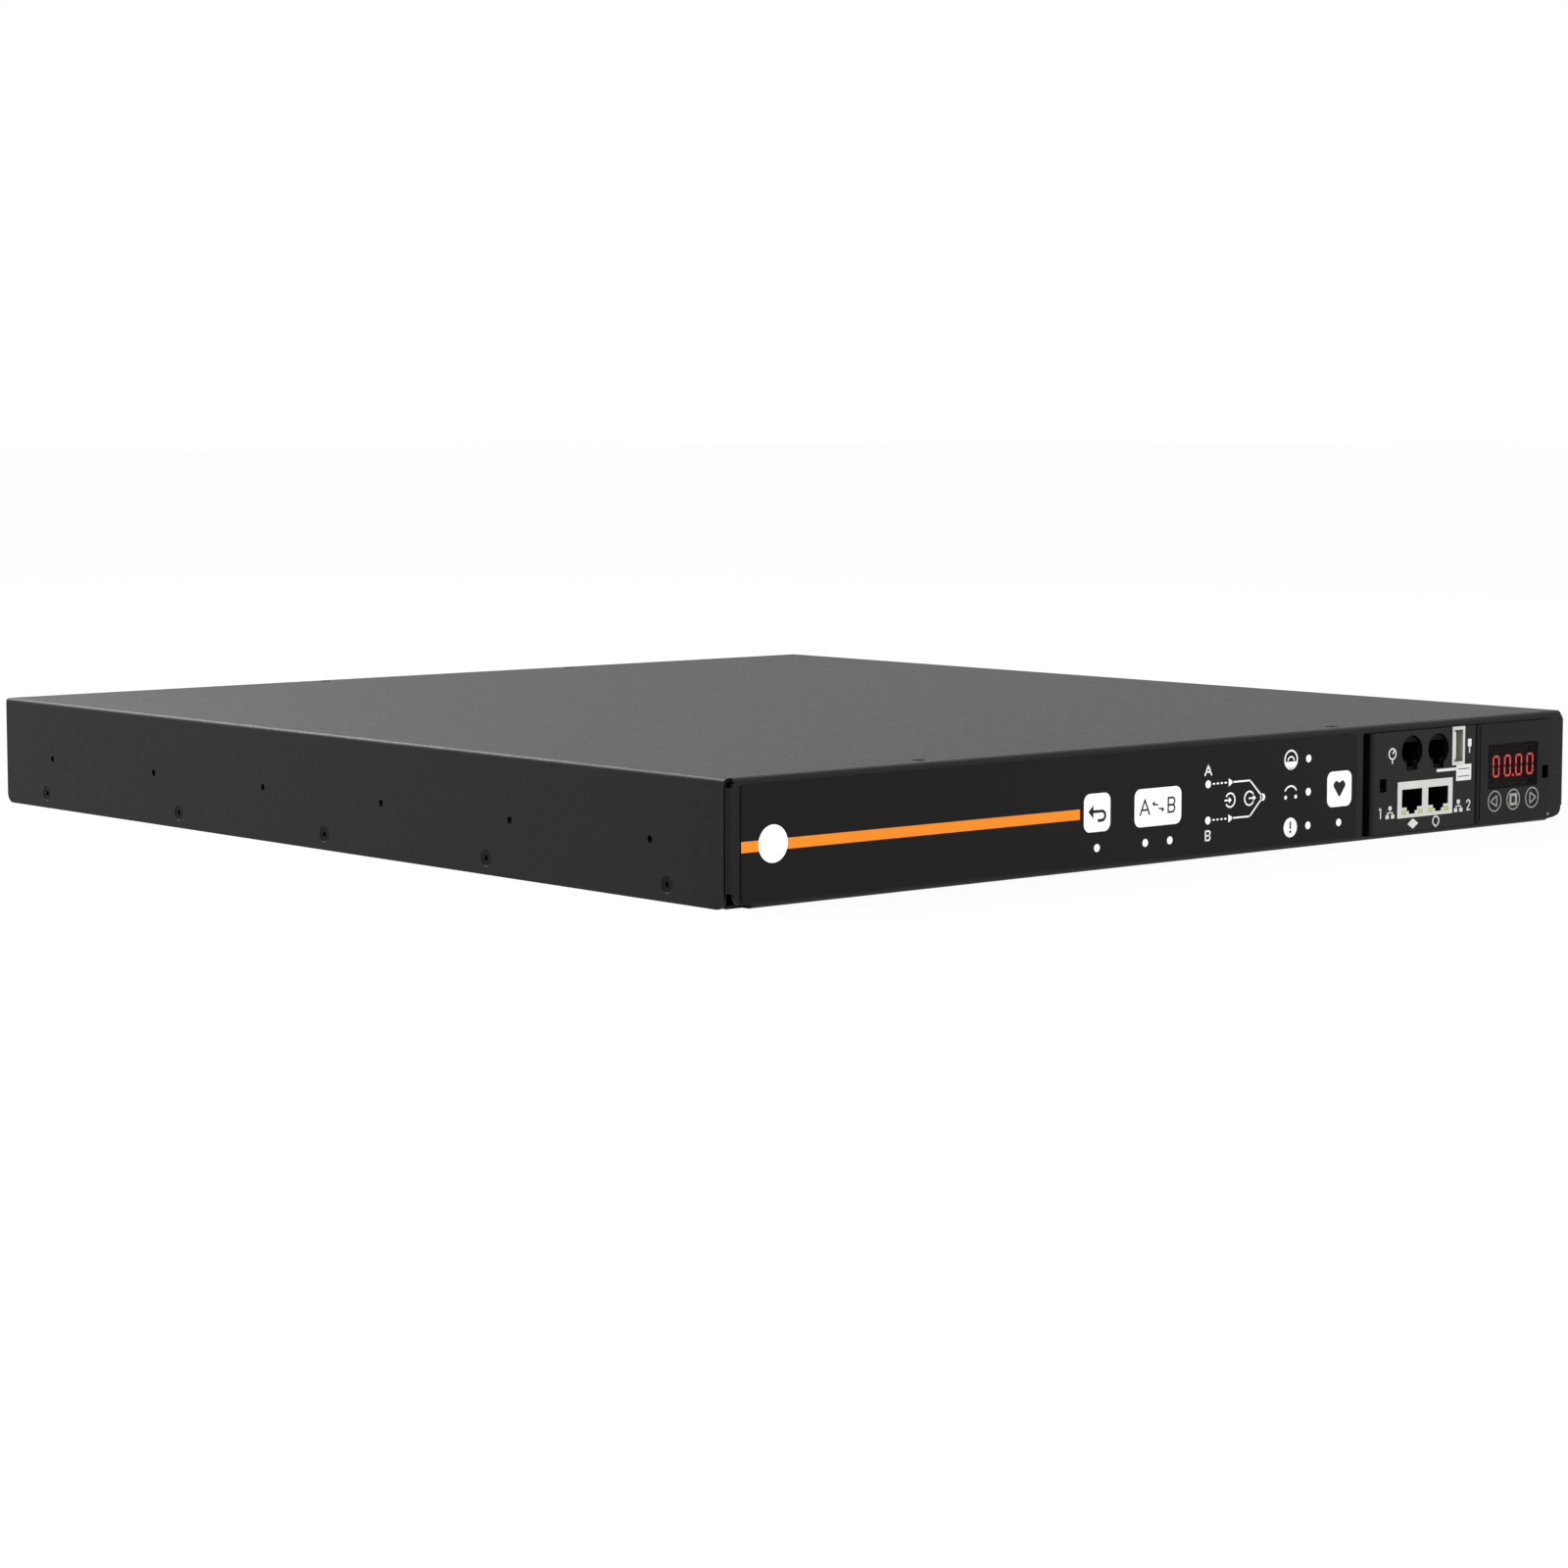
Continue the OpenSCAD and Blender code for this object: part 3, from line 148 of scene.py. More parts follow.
class Tree:
    """The node tree of one material, with its Principled shader."""

    def __init__(self, name: str) -> None:
        """Makes a material of that name."""
        self.material = bpy.data.materials.new(name)
        self.material.use_nodes = True
        self.nodes = self.material.node_tree.nodes
        self.links = self.material.node_tree.links
        self.shader = self.nodes["Principled BSDF"]
        self.place = self.node("ShaderNodeTexCoord", out="Object")

    def node(
        self,
        kind: str,
        settings: dict[str, object] | None = None,
        sockets: dict[int | str, Value | Sequence[float]] | None = None,
        out: int | str = 0,
    ) -> Wire:
        """Adds a node of any type.

        Args:
            kind: The node's type.
            settings: Its properties, set first.
            sockets: Values or links of its inputs, by name or number.
            out: The output that is wanted.

        Returns:
            That output.
        """
        made = self.nodes.new(kind)
        for key, value in (settings or {}).items():
            setattr(made, key, value)
        for key, value in (sockets or {}).items():
            self.feed(made.inputs[key], value)
        return Wire(self, made.outputs[out])

    def feed(self, socket: bpy.types.NodeSocket, value: Value | Sequence[float]) -> None:
        """Links a wire to a socket, or sets the socket's own value."""
        if isinstance(value, Wire):
            self.links.new(value.socket, socket)
        else:
            socket.default_value = value

    def set(self, **sockets: Value | Sequence[float]) -> None:
        """Feeds the Principled shader's sockets, named with underscores for spaces."""
        for key, value in sockets.items():
            self.feed(self.shader.inputs[key.replace("_", " ")], value)

    def noise(self, size: float, detail: float = 2.0, stretch: Colour = (1, 1, 1)) -> Wire:
        """Noise on the object's own coordinates.

        Args:
            size: The size of its features in metres.
            detail: The number of finer octaves.
            stretch: The scale along each axis.

        Returns:
            The noise, from 0 to 1.
        """
        place = self.node("ShaderNodeMapping", {}, {"Vector": self.place, "Scale": stretch})
        return self.node(
            "ShaderNodeTexNoise", {}, {"Vector": place, "Scale": 1 / size, "Detail": detail}
        )

    def blend(self, mask: Value, a: "Colour | Wire", b: "Colour | Wire") -> Wire:
        """Mixes two colours, or wires that carry colours, by a mask."""
        sockets = {MIX_FACTOR: mask}
        for key, end in ((MIX_A, a), (MIX_B, b)):
            sockets[key] = end if isinstance(end, Wire) else (*end, 1.0)
        return self.node("ShaderNodeMix", {"data_type": "RGBA"}, sockets, out=MIX_RESULT)

    def mottle(self, mask: Value, colour: Colour, tones: Point) -> Wire:
        """Varies a colour between two of its tones by a mask."""
        return self.blend(mask, shade(colour, tones[0]), shade(colour, tones[1]))

    def bump(self, height: Wire, depth: float) -> Wire:
        """A normal that follows a height.

        Args:
            height: The height, from 0 to 1.
            depth: What a height of 1 stands for, in metres.

        Returns:
            The normal.
        """
        values = {"Height": height, "Distance": depth, "Strength": 1.0}
        return self.node("ShaderNodeBump", {}, values)


def shade(colour: Colour, factor: float) -> Colour:
    """A lighter or darker tone of a colour."""
    r, g, b = (min(1.0, c * factor) for c in colour)
    return (r, g, b)


# ---------------------------------------------------------------- finishes


@dataclass(frozen=True)
class PowderCoat:
    """Baked powder paint: a fine grain over a faint orange peel."""

    name: str
    colour: Colour
    roughness: float = 0.5
    gloss: float = 0.3
    grain: float = 0.7 * MM
    relief: float = 0.06 * MM
    peel_scale: float = 6.0
    peel_relief: float = 0.8
    peel_roughness: float = 0.06
    patch: float = 60 * MM
    tones: Point = (0.9, 1.1)
    speck_edge: float = 0.56
    speck_soft: float = 0.12
    speck_share: float = 0.6
    speck_tone: float = 2.4
    speck_shine: float = 0.12

    def make(self) -> bpy.types.Material:
        """Builds the material."""
        tree = Tree(self.name)
        grain = tree.noise(self.grain, detail=3.0)
        peel = tree.noise(self.grain * self.peel_scale, detail=1.0)
        patch = tree.noise(self.patch)
        speck = grain.above(self.speck_edge, self.speck_soft)
        tone = tree.mottle(patch, self.colour, self.tones)
        light = shade(self.colour, self.speck_tone)
        tree.set(
            Base_Color=tree.blend(speck * self.speck_share, tone, light),
            Roughness=self.roughness - self.speck_shine * speck + self.peel_roughness * peel,
            Normal=tree.bump(grain + peel * self.peel_relief, self.relief),
            Specular_IOR_Level=self.gloss,
        )
        return tree.material


@dataclass(frozen=True)
class SatinPaint:
    """Smooth satin paint on plates and screws."""

    name: str
    colour: Colour
    roughness: float = 0.38
    gloss: float = 0.4
    grain: float = 0.35 * MM
    grain_roughness: float = 0.1
    relief: float = 0.01 * MM
    patch: float = 25 * MM
    tones: Point = (0.85, 1.15)

    def make(self) -> bpy.types.Material:
        """Builds the material."""
        tree = Tree(self.name)
        grain = tree.noise(self.grain)
        patch = tree.noise(self.patch)
        tree.set(
            Base_Color=tree.mottle(patch, self.colour, self.tones),
            Roughness=self.roughness + self.grain_roughness * grain,
            Normal=tree.bump(grain, self.relief),
            Specular_IOR_Level=self.gloss,
        )
        return tree.material


@dataclass(frozen=True)
class PrintedFilm:
    """The textured face of a printed polyester film."""

    name: str
    colour: Colour
    roughness: float = 0.5
    gloss: float = 0.25
    velvet: float = 0.25 * MM
    velvet_roughness: float = 0.08
    relief: float = 0.008 * MM
    patch: float = 80 * MM
    tones: Point = (0.94, 1.06)

    def make(self) -> bpy.types.Material:
        """Builds the material."""
        tree = Tree(self.name)
        velvet = tree.noise(self.velvet)
        patch = tree.noise(self.patch, detail=1.0)
        tree.set(
            Base_Color=tree.mottle(patch, self.colour, self.tones),
            Roughness=self.roughness + self.velvet_roughness * velvet,
            Normal=tree.bump(velvet, self.relief),
            Specular_IOR_Level=self.gloss,
        )
        return tree.material


@dataclass(frozen=True)
class Ink:
    """Screen-printed ink with slightly uneven cover."""

    name: str
    colour: Colour
    roughness: float = 0.55
    gloss: float = 0.25
    cover: float = 0.4 * MM
    cover_roughness: float = 0.06
    relief: float = 0.004 * MM
    tones: Point = (0.96, 1.02)

    def make(self) -> bpy.types.Material:
        """Builds the material."""
        tree = Tree(self.name)
        cover = tree.noise(self.cover)
        tree.set(
            Base_Color=tree.mottle(cover, self.colour, self.tones),
            Roughness=self.roughness + self.cover_roughness * cover,
            Normal=tree.bump(cover, self.relief),
            Specular_IOR_Level=self.gloss,
        )
        return tree.material


@dataclass(frozen=True)
class Moulding:
    """Injection-moulded plastic with a spark-eroded grain."""

    name: str
    colour: Colour
    roughness: float = 0.42
    gloss: float = 0.35
    grain: float = 0.3 * MM
    grain_roughness: float = 0.12
    relief: float = 0.015 * MM
    flow: float = 12 * MM
    flow_shine: float = 0.05
    tones: Point = (0.85, 1.15)

    def make(self) -> bpy.types.Material:
        """Builds the material."""
        tree = Tree(self.name)
        grain = tree.noise(self.grain, detail=3.0)
        flow = tree.noise(self.flow)
        tree.set(
            Base_Color=tree.mottle(flow, self.colour, self.tones),
            Roughness=self.roughness + self.grain_roughness * grain - self.flow_shine * flow,
            Normal=tree.bump(grain, self.relief),
            Specular_IOR_Level=self.gloss,
        )
        return tree.material


@dataclass(frozen=True)
class BareMetal:
    """Metal with its grain: rolled, drawn, plated or extruded along one axis."""

    name: str
    colour: Colour
    roughness: float = 0.3
    stretch: Colour = (1.0, 1.0, 1.0)
    relief: float = 0.006 * MM
    grain: float = 0.3 * MM
    grain_roughness: float = 0.14
    stain: float = 9 * MM
    stain_roughness: float = 0.08
    tones: Point = (0.82, 1.06)

    def make(self) -> bpy.types.Material:
        """Builds the material."""
        tree = Tree(self.name)
        grain = tree.noise(self.grain, 3.0, self.stretch)
        stain = tree.noise(self.stain, detail=3.0)
        rough = self.roughness + self.grain_roughness * grain
        tree.set(
            Base_Color=tree.mottle(stain, self.colour, self.tones),
            Metallic=1.0,
            Roughness=rough + self.stain_roughness * stain,
            Normal=tree.bump(grain, self.relief),
        )
        return tree.material


@dataclass(frozen=True)
class BoardResist:
    """Solder resist over copper tracks."""

    name: str
    colour: Colour
    pitch: float = 2.2 * MM
    gap: float = 0.12
    gap_soft: float = 0.2
    track: Point = (3.1, 0.5)
    relief: float = 0.03 * MM
    wear: float = 6 * MM
    roughness: float = 0.28
    wear_roughness: float = 0.15
    gloss: float = 0.5
    tones: Point = (1.0, 1.7)

    def make(self) -> bpy.types.Material:
        """Builds the material."""
        tree = Tree(self.name)
        sockets = {
            "Vector": tree.place,
            "Scale": 1 / self.pitch,
            "Mortar Size": self.gap,
            "Mortar Smooth": self.gap_soft,
            "Brick Width": self.track[0],
            "Row Height": self.track[1],
        }
        tracks = tree.node("ShaderNodeTexBrick", {}, sockets, out="Fac")
        wear = tree.noise(self.wear)
        tree.set(
            Base_Color=tree.mottle(tracks, self.colour, self.tones),
            Roughness=self.roughness + self.wear_roughness * wear,
            Normal=tree.bump(tracks, self.relief),
            Specular_IOR_Level=self.gloss,
        )
        return tree.material


@dataclass(frozen=True)
class SmokedLens:
    """Dark tinted acrylic over the display."""

    name: str
    tint: Colour
    cover: float = 0.35
    roughness: float = 0.1
    haze: float = 14 * MM
    haze_roughness: float = 0.06
    gloss: float = 0.12
    tones: Point = (1.0, 1.3)

    def make(self) -> bpy.types.Material:
        """Builds the material."""
        tree = Tree(self.name)
        haze = tree.noise(self.haze)
        tree.set(
            Base_Color=tree.mottle(haze, self.tint, self.tones),
            Roughness=self.roughness + self.haze_roughness * haze,
            Alpha=self.cover,
            Specular_IOR_Level=self.gloss,
        )
        return tree.material


@dataclass(frozen=True)
class Diffuser:
    """Translucent plastic of a lamp, lit or unlit."""

    name: str
    colour: Colour
    glow: float = 0.0
    roughness: float = 0.3
    cloud: float = 1.2 * MM
    cloud_roughness: float = 0.1
    gloss: float = 0.4
    tones: Point = (0.88, 1.0)

    def make(self) -> bpy.types.Material:
        """Builds the material."""
        tree = Tree(self.name)
        cloud = tree.noise(self.cloud)
        tone = tree.mottle(cloud, self.colour, self.tones)
        tree.set(
            Base_Color=tone,
            Roughness=self.roughness + self.cloud_roughness * cloud,
            Emission_Color=tone,
            Emission_Strength=self.glow,
            Specular_IOR_Level=self.gloss,
        )
        return tree.material


# ---------------------------------------------------------------- printed shapes


# Facets in a rounded corner of a box and of a drawn outline, and of an arc, in radians each
BOX_CORNER_STEPS = 6
OUTLINE_CORNER_STEPS = 5
ARC_STEP = 0.16
LEAST_ARC_STEPS = 6


class Sides(IntEnum):
    """Number of sides of a printed disc."""

    JOINT = 12
    DOT = 16
    PLAIN = 40
    SIGN = 48
    BADGE = 56


class Layer(Enum):
    """Height of a printed layer above its face, in metres."""

    GROUND = 0.03 * MM
    SIGN = 0.05 * MM
    DETAIL = 0.07 * MM


@dataclass
class Print:
    """Flat shapes printed on a face that looks towards -Y, each a thin closed plate.

    Places are millimetres from the case's left side and underside.
    """

    name: str
    face_y: float
    layer: Layer = Layer.GROUND
    mesh: bmesh.types.BMesh = field(default_factory=bmesh.new)
    sunk: float = 0.01 * MM

    def _lay(self, verts: Sequence[bmesh.types.BMVert], at: Point, turn: float = 0.0) -> None:
        """Moves a shape drawn in the XY plane on to the face and gives it its thickness.

        Args:
            verts: The shape's vertices, drawn in metres about its own origin.
            at: Where that origin goes, in millimetres.
            turn: The angle it is turned by, in radians.
        """
        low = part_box("tray")[0]
        place = Vector((low.x + at[0] * MM, self.face_y - self.layer.value, low.z + at[1] * MM))
        matrix = (
            Matrix.Translation(place)
            @ Matrix.Rotation(QUARTER, 4, "X")
            @ Matrix.Rotation(turn, 4, "Z")
        )
        bmesh.ops.transform(self.mesh, matrix=matrix, verts=verts)
        faces = list({f for v in verts for f in v.link_faces})
        made = bmesh.ops.extrude_face_region(self.mesh, geom=faces)["geom"]
        back = [v for v in made if isinstance(v, bmesh.types.BMVert)]
        depth = Vector((0, self.layer.value + self.sunk, 0))
        bmesh.ops.translate(self.mesh, vec=depth, verts=back)
        shell = list({f for v in (*verts, *back) for f in v.link_faces})
        bmesh.ops.recalc_face_normals(self.mesh, faces=shell)

    def _round(
        self, verts: Sequence[bmesh.types.BMVert], radius: float, steps: int
    ) -> list[bmesh.types.BMVert]:
        """Rounds the corners of a shape that is still flat.

        Args:
            verts: The shape's vertices.
            radius: The radius of its corners, in millimetres.
            steps: The number of facets in each corner.

        Returns:
            The vertices of the rounded shape.
        """
        made = bmesh.ops.bevel(
            self.mesh,
            geom=verts,
            offset=radius * MM,
            affect="VERTICES",
            segments=steps,
            profile=0.5,
            material=-1,
        )
        return list({v for f in made["faces"] for v in f.verts} | set(made["verts"]))

    def box(self, at: Point, size: Point, corner: float = 0.0, turn: float = 0.0) -> None:
        """Prints a rectangle.

        Args:
            at: Its centre.
            size: Its width and height.
            corner: The radius of its corners.
            turn: The angle it is turned by, in radians.
        """
        verts = bmesh.ops.create_grid(self.mesh, x_segments=1, y_segments=1, size=0.5)["verts"]
        scale = Vector((size[0] * MM, size[1] * MM, 1))
        bmesh.ops.scale(self.mesh, vec=scale, verts=verts)
        if corner:
            verts = self._round(verts, corner, BOX_CORNER_STEPS)
        self._lay(verts, at, turn)

    def bar(self, start: Point, end: Point, width: float) -> None:
        """Prints a straight stroke of that width from start to end."""
        dx, dz = end[0] - start[0], end[1] - start[1]
        middle = ((start[0] + end[0]) / 2, (start[1] + end[1]) / 2)
        self.box(middle, (math.hypot(dx, dz), width), turn=math.atan2(dz, dx))

    def path(self, points: Sequence[Point], width: float) -> None:
        """Prints strokes through several points, with round joints between them."""
        for start, end in zip(points, points[1:]):
            self.bar(start, end, width)
        for joint in points[1:-1]:
            self.disc(joint, width / 2, Sides.JOINT)

    def disc(self, at: Point, radius: float, sides: Sides = Sides.PLAIN) -> None:
        """Prints a filled circle."""
        made = bmesh.ops.create_circle(
            self.mesh, cap_ends=True, segments=sides.value, radius=radius * MM
        )
        self._lay(made["verts"], at)

    def arc(self, at: Point, radius: float, width: float, start: float, sweep: float) -> None:
        """Prints an arc.

        Args:
            at: Its centre.
            radius: The radius of its middle line.
            width: The width of the line.
            start: The angle at which it starts, in radians from +X.
            sweep: The angle that it covers.
        """
        ends = [
            self.mesh.verts.new(((radius + side * width / 2) * MM, 0, 0)) for side in (-1, 1)
        ]
        edge = self.mesh.edges.new(ends)
        before = set(self.mesh.verts) - set(ends)
        bmesh.ops.spin(
            self.mesh,
            geom=[*ends, edge],
            cent=(0, 0, 0),
            axis=(0, 0, 1),
            angle=sweep,
            steps=max(LEAST_ARC_STEPS, round(sweep / ARC_STEP)),
            use_merge=sweep >= FULL_TURN,
        )
        verts = [v for v in self.mesh.verts if v not in before]
        self._lay(verts, at, start)

    def shape(self, points: Sequence[Point], at: Point, soft: float = 0.0) -> None:
        """Prints a filled outline.

        Args:
            points: Its corners, in order.
            at: What is added to each of them.
            soft: The radius given to its corners.
        """
        verts = [self.mesh.verts.new((x * MM, z * MM, 0)) for x, z in points]
        self.mesh.faces.new(verts)
        if soft:
            verts = self._round(verts, soft, OUTLINE_CORNER_STEPS)
        self._lay(verts, at)

    def sign(self, marks: Sequence["Mark"], *places: Point) -> None:
        """Prints a sign, made of marks about its centre, at each of the places."""
        for at in places:
            for mark in marks:
                mark.draw(self, at)

    def finish(self, ink: bpy.types.Material) -> bpy.types.Object:
        """Turns the shapes into a piece in that ink."""
        return add_piece(self.name, self.mesh, ink)


def add_piece(
    name: str, mesh: bmesh.types.BMesh, material: bpy.types.Material
) -> bpy.types.Object:
    """Makes an object of a finished mesh and sets it on the frame.

    Args:
        name: The piece's name.
        mesh: Its mesh, in the part's frame. It is freed.
        material: Its material.

    Returns:
        The new object.
    """
    data = bpy.data.meshes.new(name)
    mesh.to_mesh(data)
    mesh.free()
    data.materials.append(material)
    piece = bpy.data.objects.new(name, data)
    bpy.context.scene.collection.objects.link(piece)
    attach(piece, BODY)
    LOG.info("%s: %d faces", name, len(data.polygons))
    return piece


def dress(material: bpy.types.Material, *nodes: str) -> None:
    """Gives CAD nodes a material."""
    for node in nodes:
        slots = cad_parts[node].data.materials
        slots.clear()
        slots.append(material)
        LOG.info("%s wears %s", node, material.name)


# ---------------------------------------------------------------- marks and signs


def moved(point: Point, by: Point) -> Point:
    """A point moved by an offset."""
    return (point[0] + by[0], point[1] + by[1])


class Mark(ABC):
    """One stroke or patch of a sign, in millimetres about the sign's centre."""

    @abstractmethod
    def draw(self, ink: Print, at: Point) -> None:
        """Prints the mark, with the sign's centre at a place."""


@dataclass(frozen=True)
class Stroke(Mark):
    """Straight lines of one width through several points."""

    width: float
    points: tuple[Point, ...]

    def draw(self, ink: Print, at: Point) -> None:
        """Prints the lines."""
        ink.path([moved(point, at) for point in self.points], self.width)


@dataclass(frozen=True)
class Curve(Mark):
    """An arc, or a ring where nothing else is said, by its middle line."""

    radius: float
    width: float
    centre: Point = (0.0, 0.0)
    start: float = 0.0
    sweep: float = FULL_TURN

    def draw(self, ink: Print, at: Point) -> None:
        """Prints the arc."""
        ink.arc(moved(self.centre, at), self.radius, self.width, self.start, self.sweep)


@dataclass(frozen=True)
class Dot(Mark):
    """A filled circle."""

    radius: float
    centre: Point = (0.0, 0.0)
    sides: Sides = Sides.PLAIN

    def draw(self, ink: Print, at: Point) -> None:
        """Prints the circle."""
        ink.disc(moved(self.centre, at), self.radius, self.sides)


@dataclass(frozen=True)
class Patch(Mark):
    """A filled rectangle."""

    size: Point
    centre: Point = (0.0, 0.0)
    corner: float = 0.0

    def draw(self, ink: Print, at: Point) -> None:
        """Prints the rectangle."""
        ink.box(moved(self.centre, at), self.size, self.corner)


@dataclass(frozen=True)
class Outline(Mark):
    """A filled outline, with its corners rounded by a radius."""

    points: tuple[Point, ...]
    soft: float = 0.0

    def draw(self, ink: Print, at: Point) -> None:
        """Prints the outline."""
        ink.shape(self.points, at, self.soft)


@dataclass(frozen=True)
class LetterA(Mark):
    """A capital A."""

    size: Point
    width: float
    centre: Point = (0.0, 0.0)
    bar_reach: float = 0.6
    bar_drop: float = 0.35
    bar_width: float = 0.9

    def draw(self, ink: Print, at: Point) -> None:
        """Prints the letter."""
        w, h = self.size[0] / 2, self.size[1] / 2
        x, z = moved(self.centre, at)
        ink.path([(x - w, z - h), (x, z + h - self.width / 2), (x + w, z - h)], self.width)
        reach, level = self.bar_reach * w, z - self.bar_drop * h
        ink.bar((x - reach, level), (x + reach, level), self.width * self.bar_width)


@dataclass(frozen=True)
class LetterB(Mark):
    """A capital B."""

    size: Point
    width: float
    centre: Point = (0.0, 0.0)

    def draw(self, ink: Print, at: Point) -> None:
        """Prints the letter."""
        w, h = self.size[0] / 2, self.size[1] / 2
        x, z = moved(self.centre, at)
        half = self.width / 2
        radius = (h - half) / 2
        bow = x + w - half - radius
        stem = x - w + half
        ink.bar((stem, z - h), (stem, z + h), self.width)
        for level in (z - h + half, z, z + h - half):
            ink.bar((stem, level), (bow, level), self.width)
        for side in (-1, 1):
            ink.arc((bow, z + side * radius), radius, self.width, -QUARTER, math.pi)


Sign = tuple[Mark, ...]


def plug_sign(gap: float, head: float) -> Sign:
    """A broken ring with a short arrow.

    Args:
        gap: The direction of the ring's gap, in radians.
        head: Where the arrow's head stands, to the right of the ring's centre.

    Returns:
        The sign.
    """
    width, half_gap = 0.6, 0.55
    return (
        Curve(2.55, width, start=gap + half_gap, sweep=FULL_TURN - 2 * half_gap),
        Stroke(width, ((head - 1.9, 0), (head + 0.6, 0))),
        Outline(((head + 0.5, -1.15), (head + 2.0, 0), (head + 0.5, 1.15))),
    )


def arrow_sign(side: int) -> Sign:
    """A hollow arrow that points left (-1) or right (1)."""
    width = 0.6
    tip, top, low = (side * 2.5, 0), (-side * 1.3, 2.2), (-side * 1.3, -2.2)
    return (Stroke(width, (top, tip, low)), Stroke(width, (low, top)))


def nought(size: Point, width: float) -> Sign:
    """A nought of six lit bars, with a gap between them."""
    w, h = size[0] / 2, size[1] / 2
    end_gap, side_gap = 0.3, 0.35
    marks = []
    for side in (-1, 1):
        marks.append(Stroke(width, ((end_gap - w, side * h), (w - end_gap, side * h))))
        for end in (-1, 1):
            ends = (end * side_gap, end * (h - side_gap))
            marks.append(Stroke(width, tuple((side * w, z) for z in ends)))
    return tuple(marks)


RETURN_SIGN: Sign = (
    Outline(((-4.5, 0.4), (-1.9, -2.0), (-1.9, 2.8))),
    Stroke(1.05, ((-2.2, 0.4), (2.4, 0.4))),
    Curve(1.65, 1.05, (2.4, -1.25), -QUARTER, math.pi),
    Stroke(1.05, ((0.3, -2.9), (2.4, -2.9))),
)
SOURCES_SIGN: Sign = (
    LetterA((5.0, 5.9), 0.72, (-6.85, 0.25)),
    LetterB((4.1, 5.9), 0.72, (7.0, 0.25)),
    Stroke(0.55, ((-2.0, 1.0), (0.1, 0.6))),
    Outline(((-3.1, 1.2), (-1.75, 0.1), (-1.75, 2.2))),
    Stroke(0.55, ((0.3, -0.6), (2.2, -1.0))),
    Outline(((3.3, -1.15), (1.95, -2.2), (1.95, -0.1))),
)
HEART_SIGN: Sign = (
    Outline(((-3.7, 1.5), (-1.9, 3.5), (0, 2.1), (1.9, 3.5), (3.7, 1.5), (0, -3.3)), 0.9),
)
ALARM_MARK: Sign = (
    Stroke(0.85, ((0, -0.5), (0, 2.2))),
    Dot(0.55, (0, -1.6), Sides.DOT),
)
LOAD_SIGN: Sign = (
    Curve(3.44, 0.62),
    Curve(1.75, 0.55, (0, -0.6), 0.15, math.pi - 0.3),
    Stroke(0.5, ((-2.9, -0.95), (2.9, -0.95))),
    Outline(((-2.9, -1.2), (-1.9, -2.8), (0, -3.55), (1.9, -2.8), (2.9, -1.2))),
)
BYPASS_SIGN: Sign = (
    Curve(3.75, 0.62, (0, -1.1), 0.55, math.pi - 1.1),
    Dot(0.75, (-2.8, -1.5)),
    Dot(0.75, (2.8, -1.5)),
)
ALARM_DISC: Sign = (Dot(3.7, sides=Sides.SIGN),)
SENSOR_SIGN: Sign = (
    Curve(2.0, 0.6),
    Stroke(0.6, ((0, 0), (1.3, 1.3))),
    Stroke(0.6, ((0, -3.8), (0, -2.2))),
)
USB_SIGN: Sign = (
    Patch((2.2, 3.0), corner=0.3),
    Stroke(0.6, ((0, -4.0), (0, -1.4))),
)
LABEL_SIGN: Sign = (
    Patch((9.1, 6.3), corner=0.3),
    Stroke(1.1, ((-16.35, 1.65), (-4.45, 1.65))),
)
LABEL_RULES: Sign = tuple(Stroke(0.4, ((-3.45, z), (3.45, z))) for z in (1.45, -1.45))
NETWORK_SIGN: Sign = (
    Patch((1.8, 1.5), (0, 1.7)),
    Stroke(0.4, ((0, -0.1), (0, 1.1))),
    Stroke(0.4, ((-1.7, -0.1), (1.7, -0.1))),
    *(Stroke(0.4, ((x, -0.2), (x, -1.0))) for x in (-1.6, 1.6)),
    *(Patch((1.9, 1.5), (x, -1.6)) for x in (-1.6, 1.6)),
)
FIGURE_ONE: Sign = (
    Stroke(0.6, ((0, -2.1), (0, 2.1))),
    Stroke(0.5, ((-0.9, 1.3), (0, 2.1))),
)
FIGURE_TWO: Sign = (
    Curve(1.0, 0.55, (0, 0.9), -0.4, math.pi + 0.4),
    Stroke(0.55, ((0.9, 0.5), (-0.9, -1.9), (1.2, -1.9))),
)
LINK_SIGN: Sign = (Outline(((-3.2, 0), (0, -2.0), (3.2, 0), (0, 2.0))),)
TRAFFIC_SIGN: Sign = (
    Curve(1.8, 0.6, start=-0.6, sweep=math.pi + 1.2),
    Stroke(0.6, ((-1.5, -1.0), (0, -2.3), (1.5, -1.0))),
)
KEY_RING: Sign = (Curve(3.95, 0.5),)
SELECT_SIGN: Sign = (
    *(Patch((1.3, 4.8), (x, 0)) for x in (-1.75, 1.75)),
    *(Patch((2.2, 1.1), (0, z)) for z in (-1.85, 1.85)),
)
CORNER_DOT: Sign = (Dot(0.55, sides=Sides.DOT),)


# ---------------------------------------------------------------- sub-assemblies


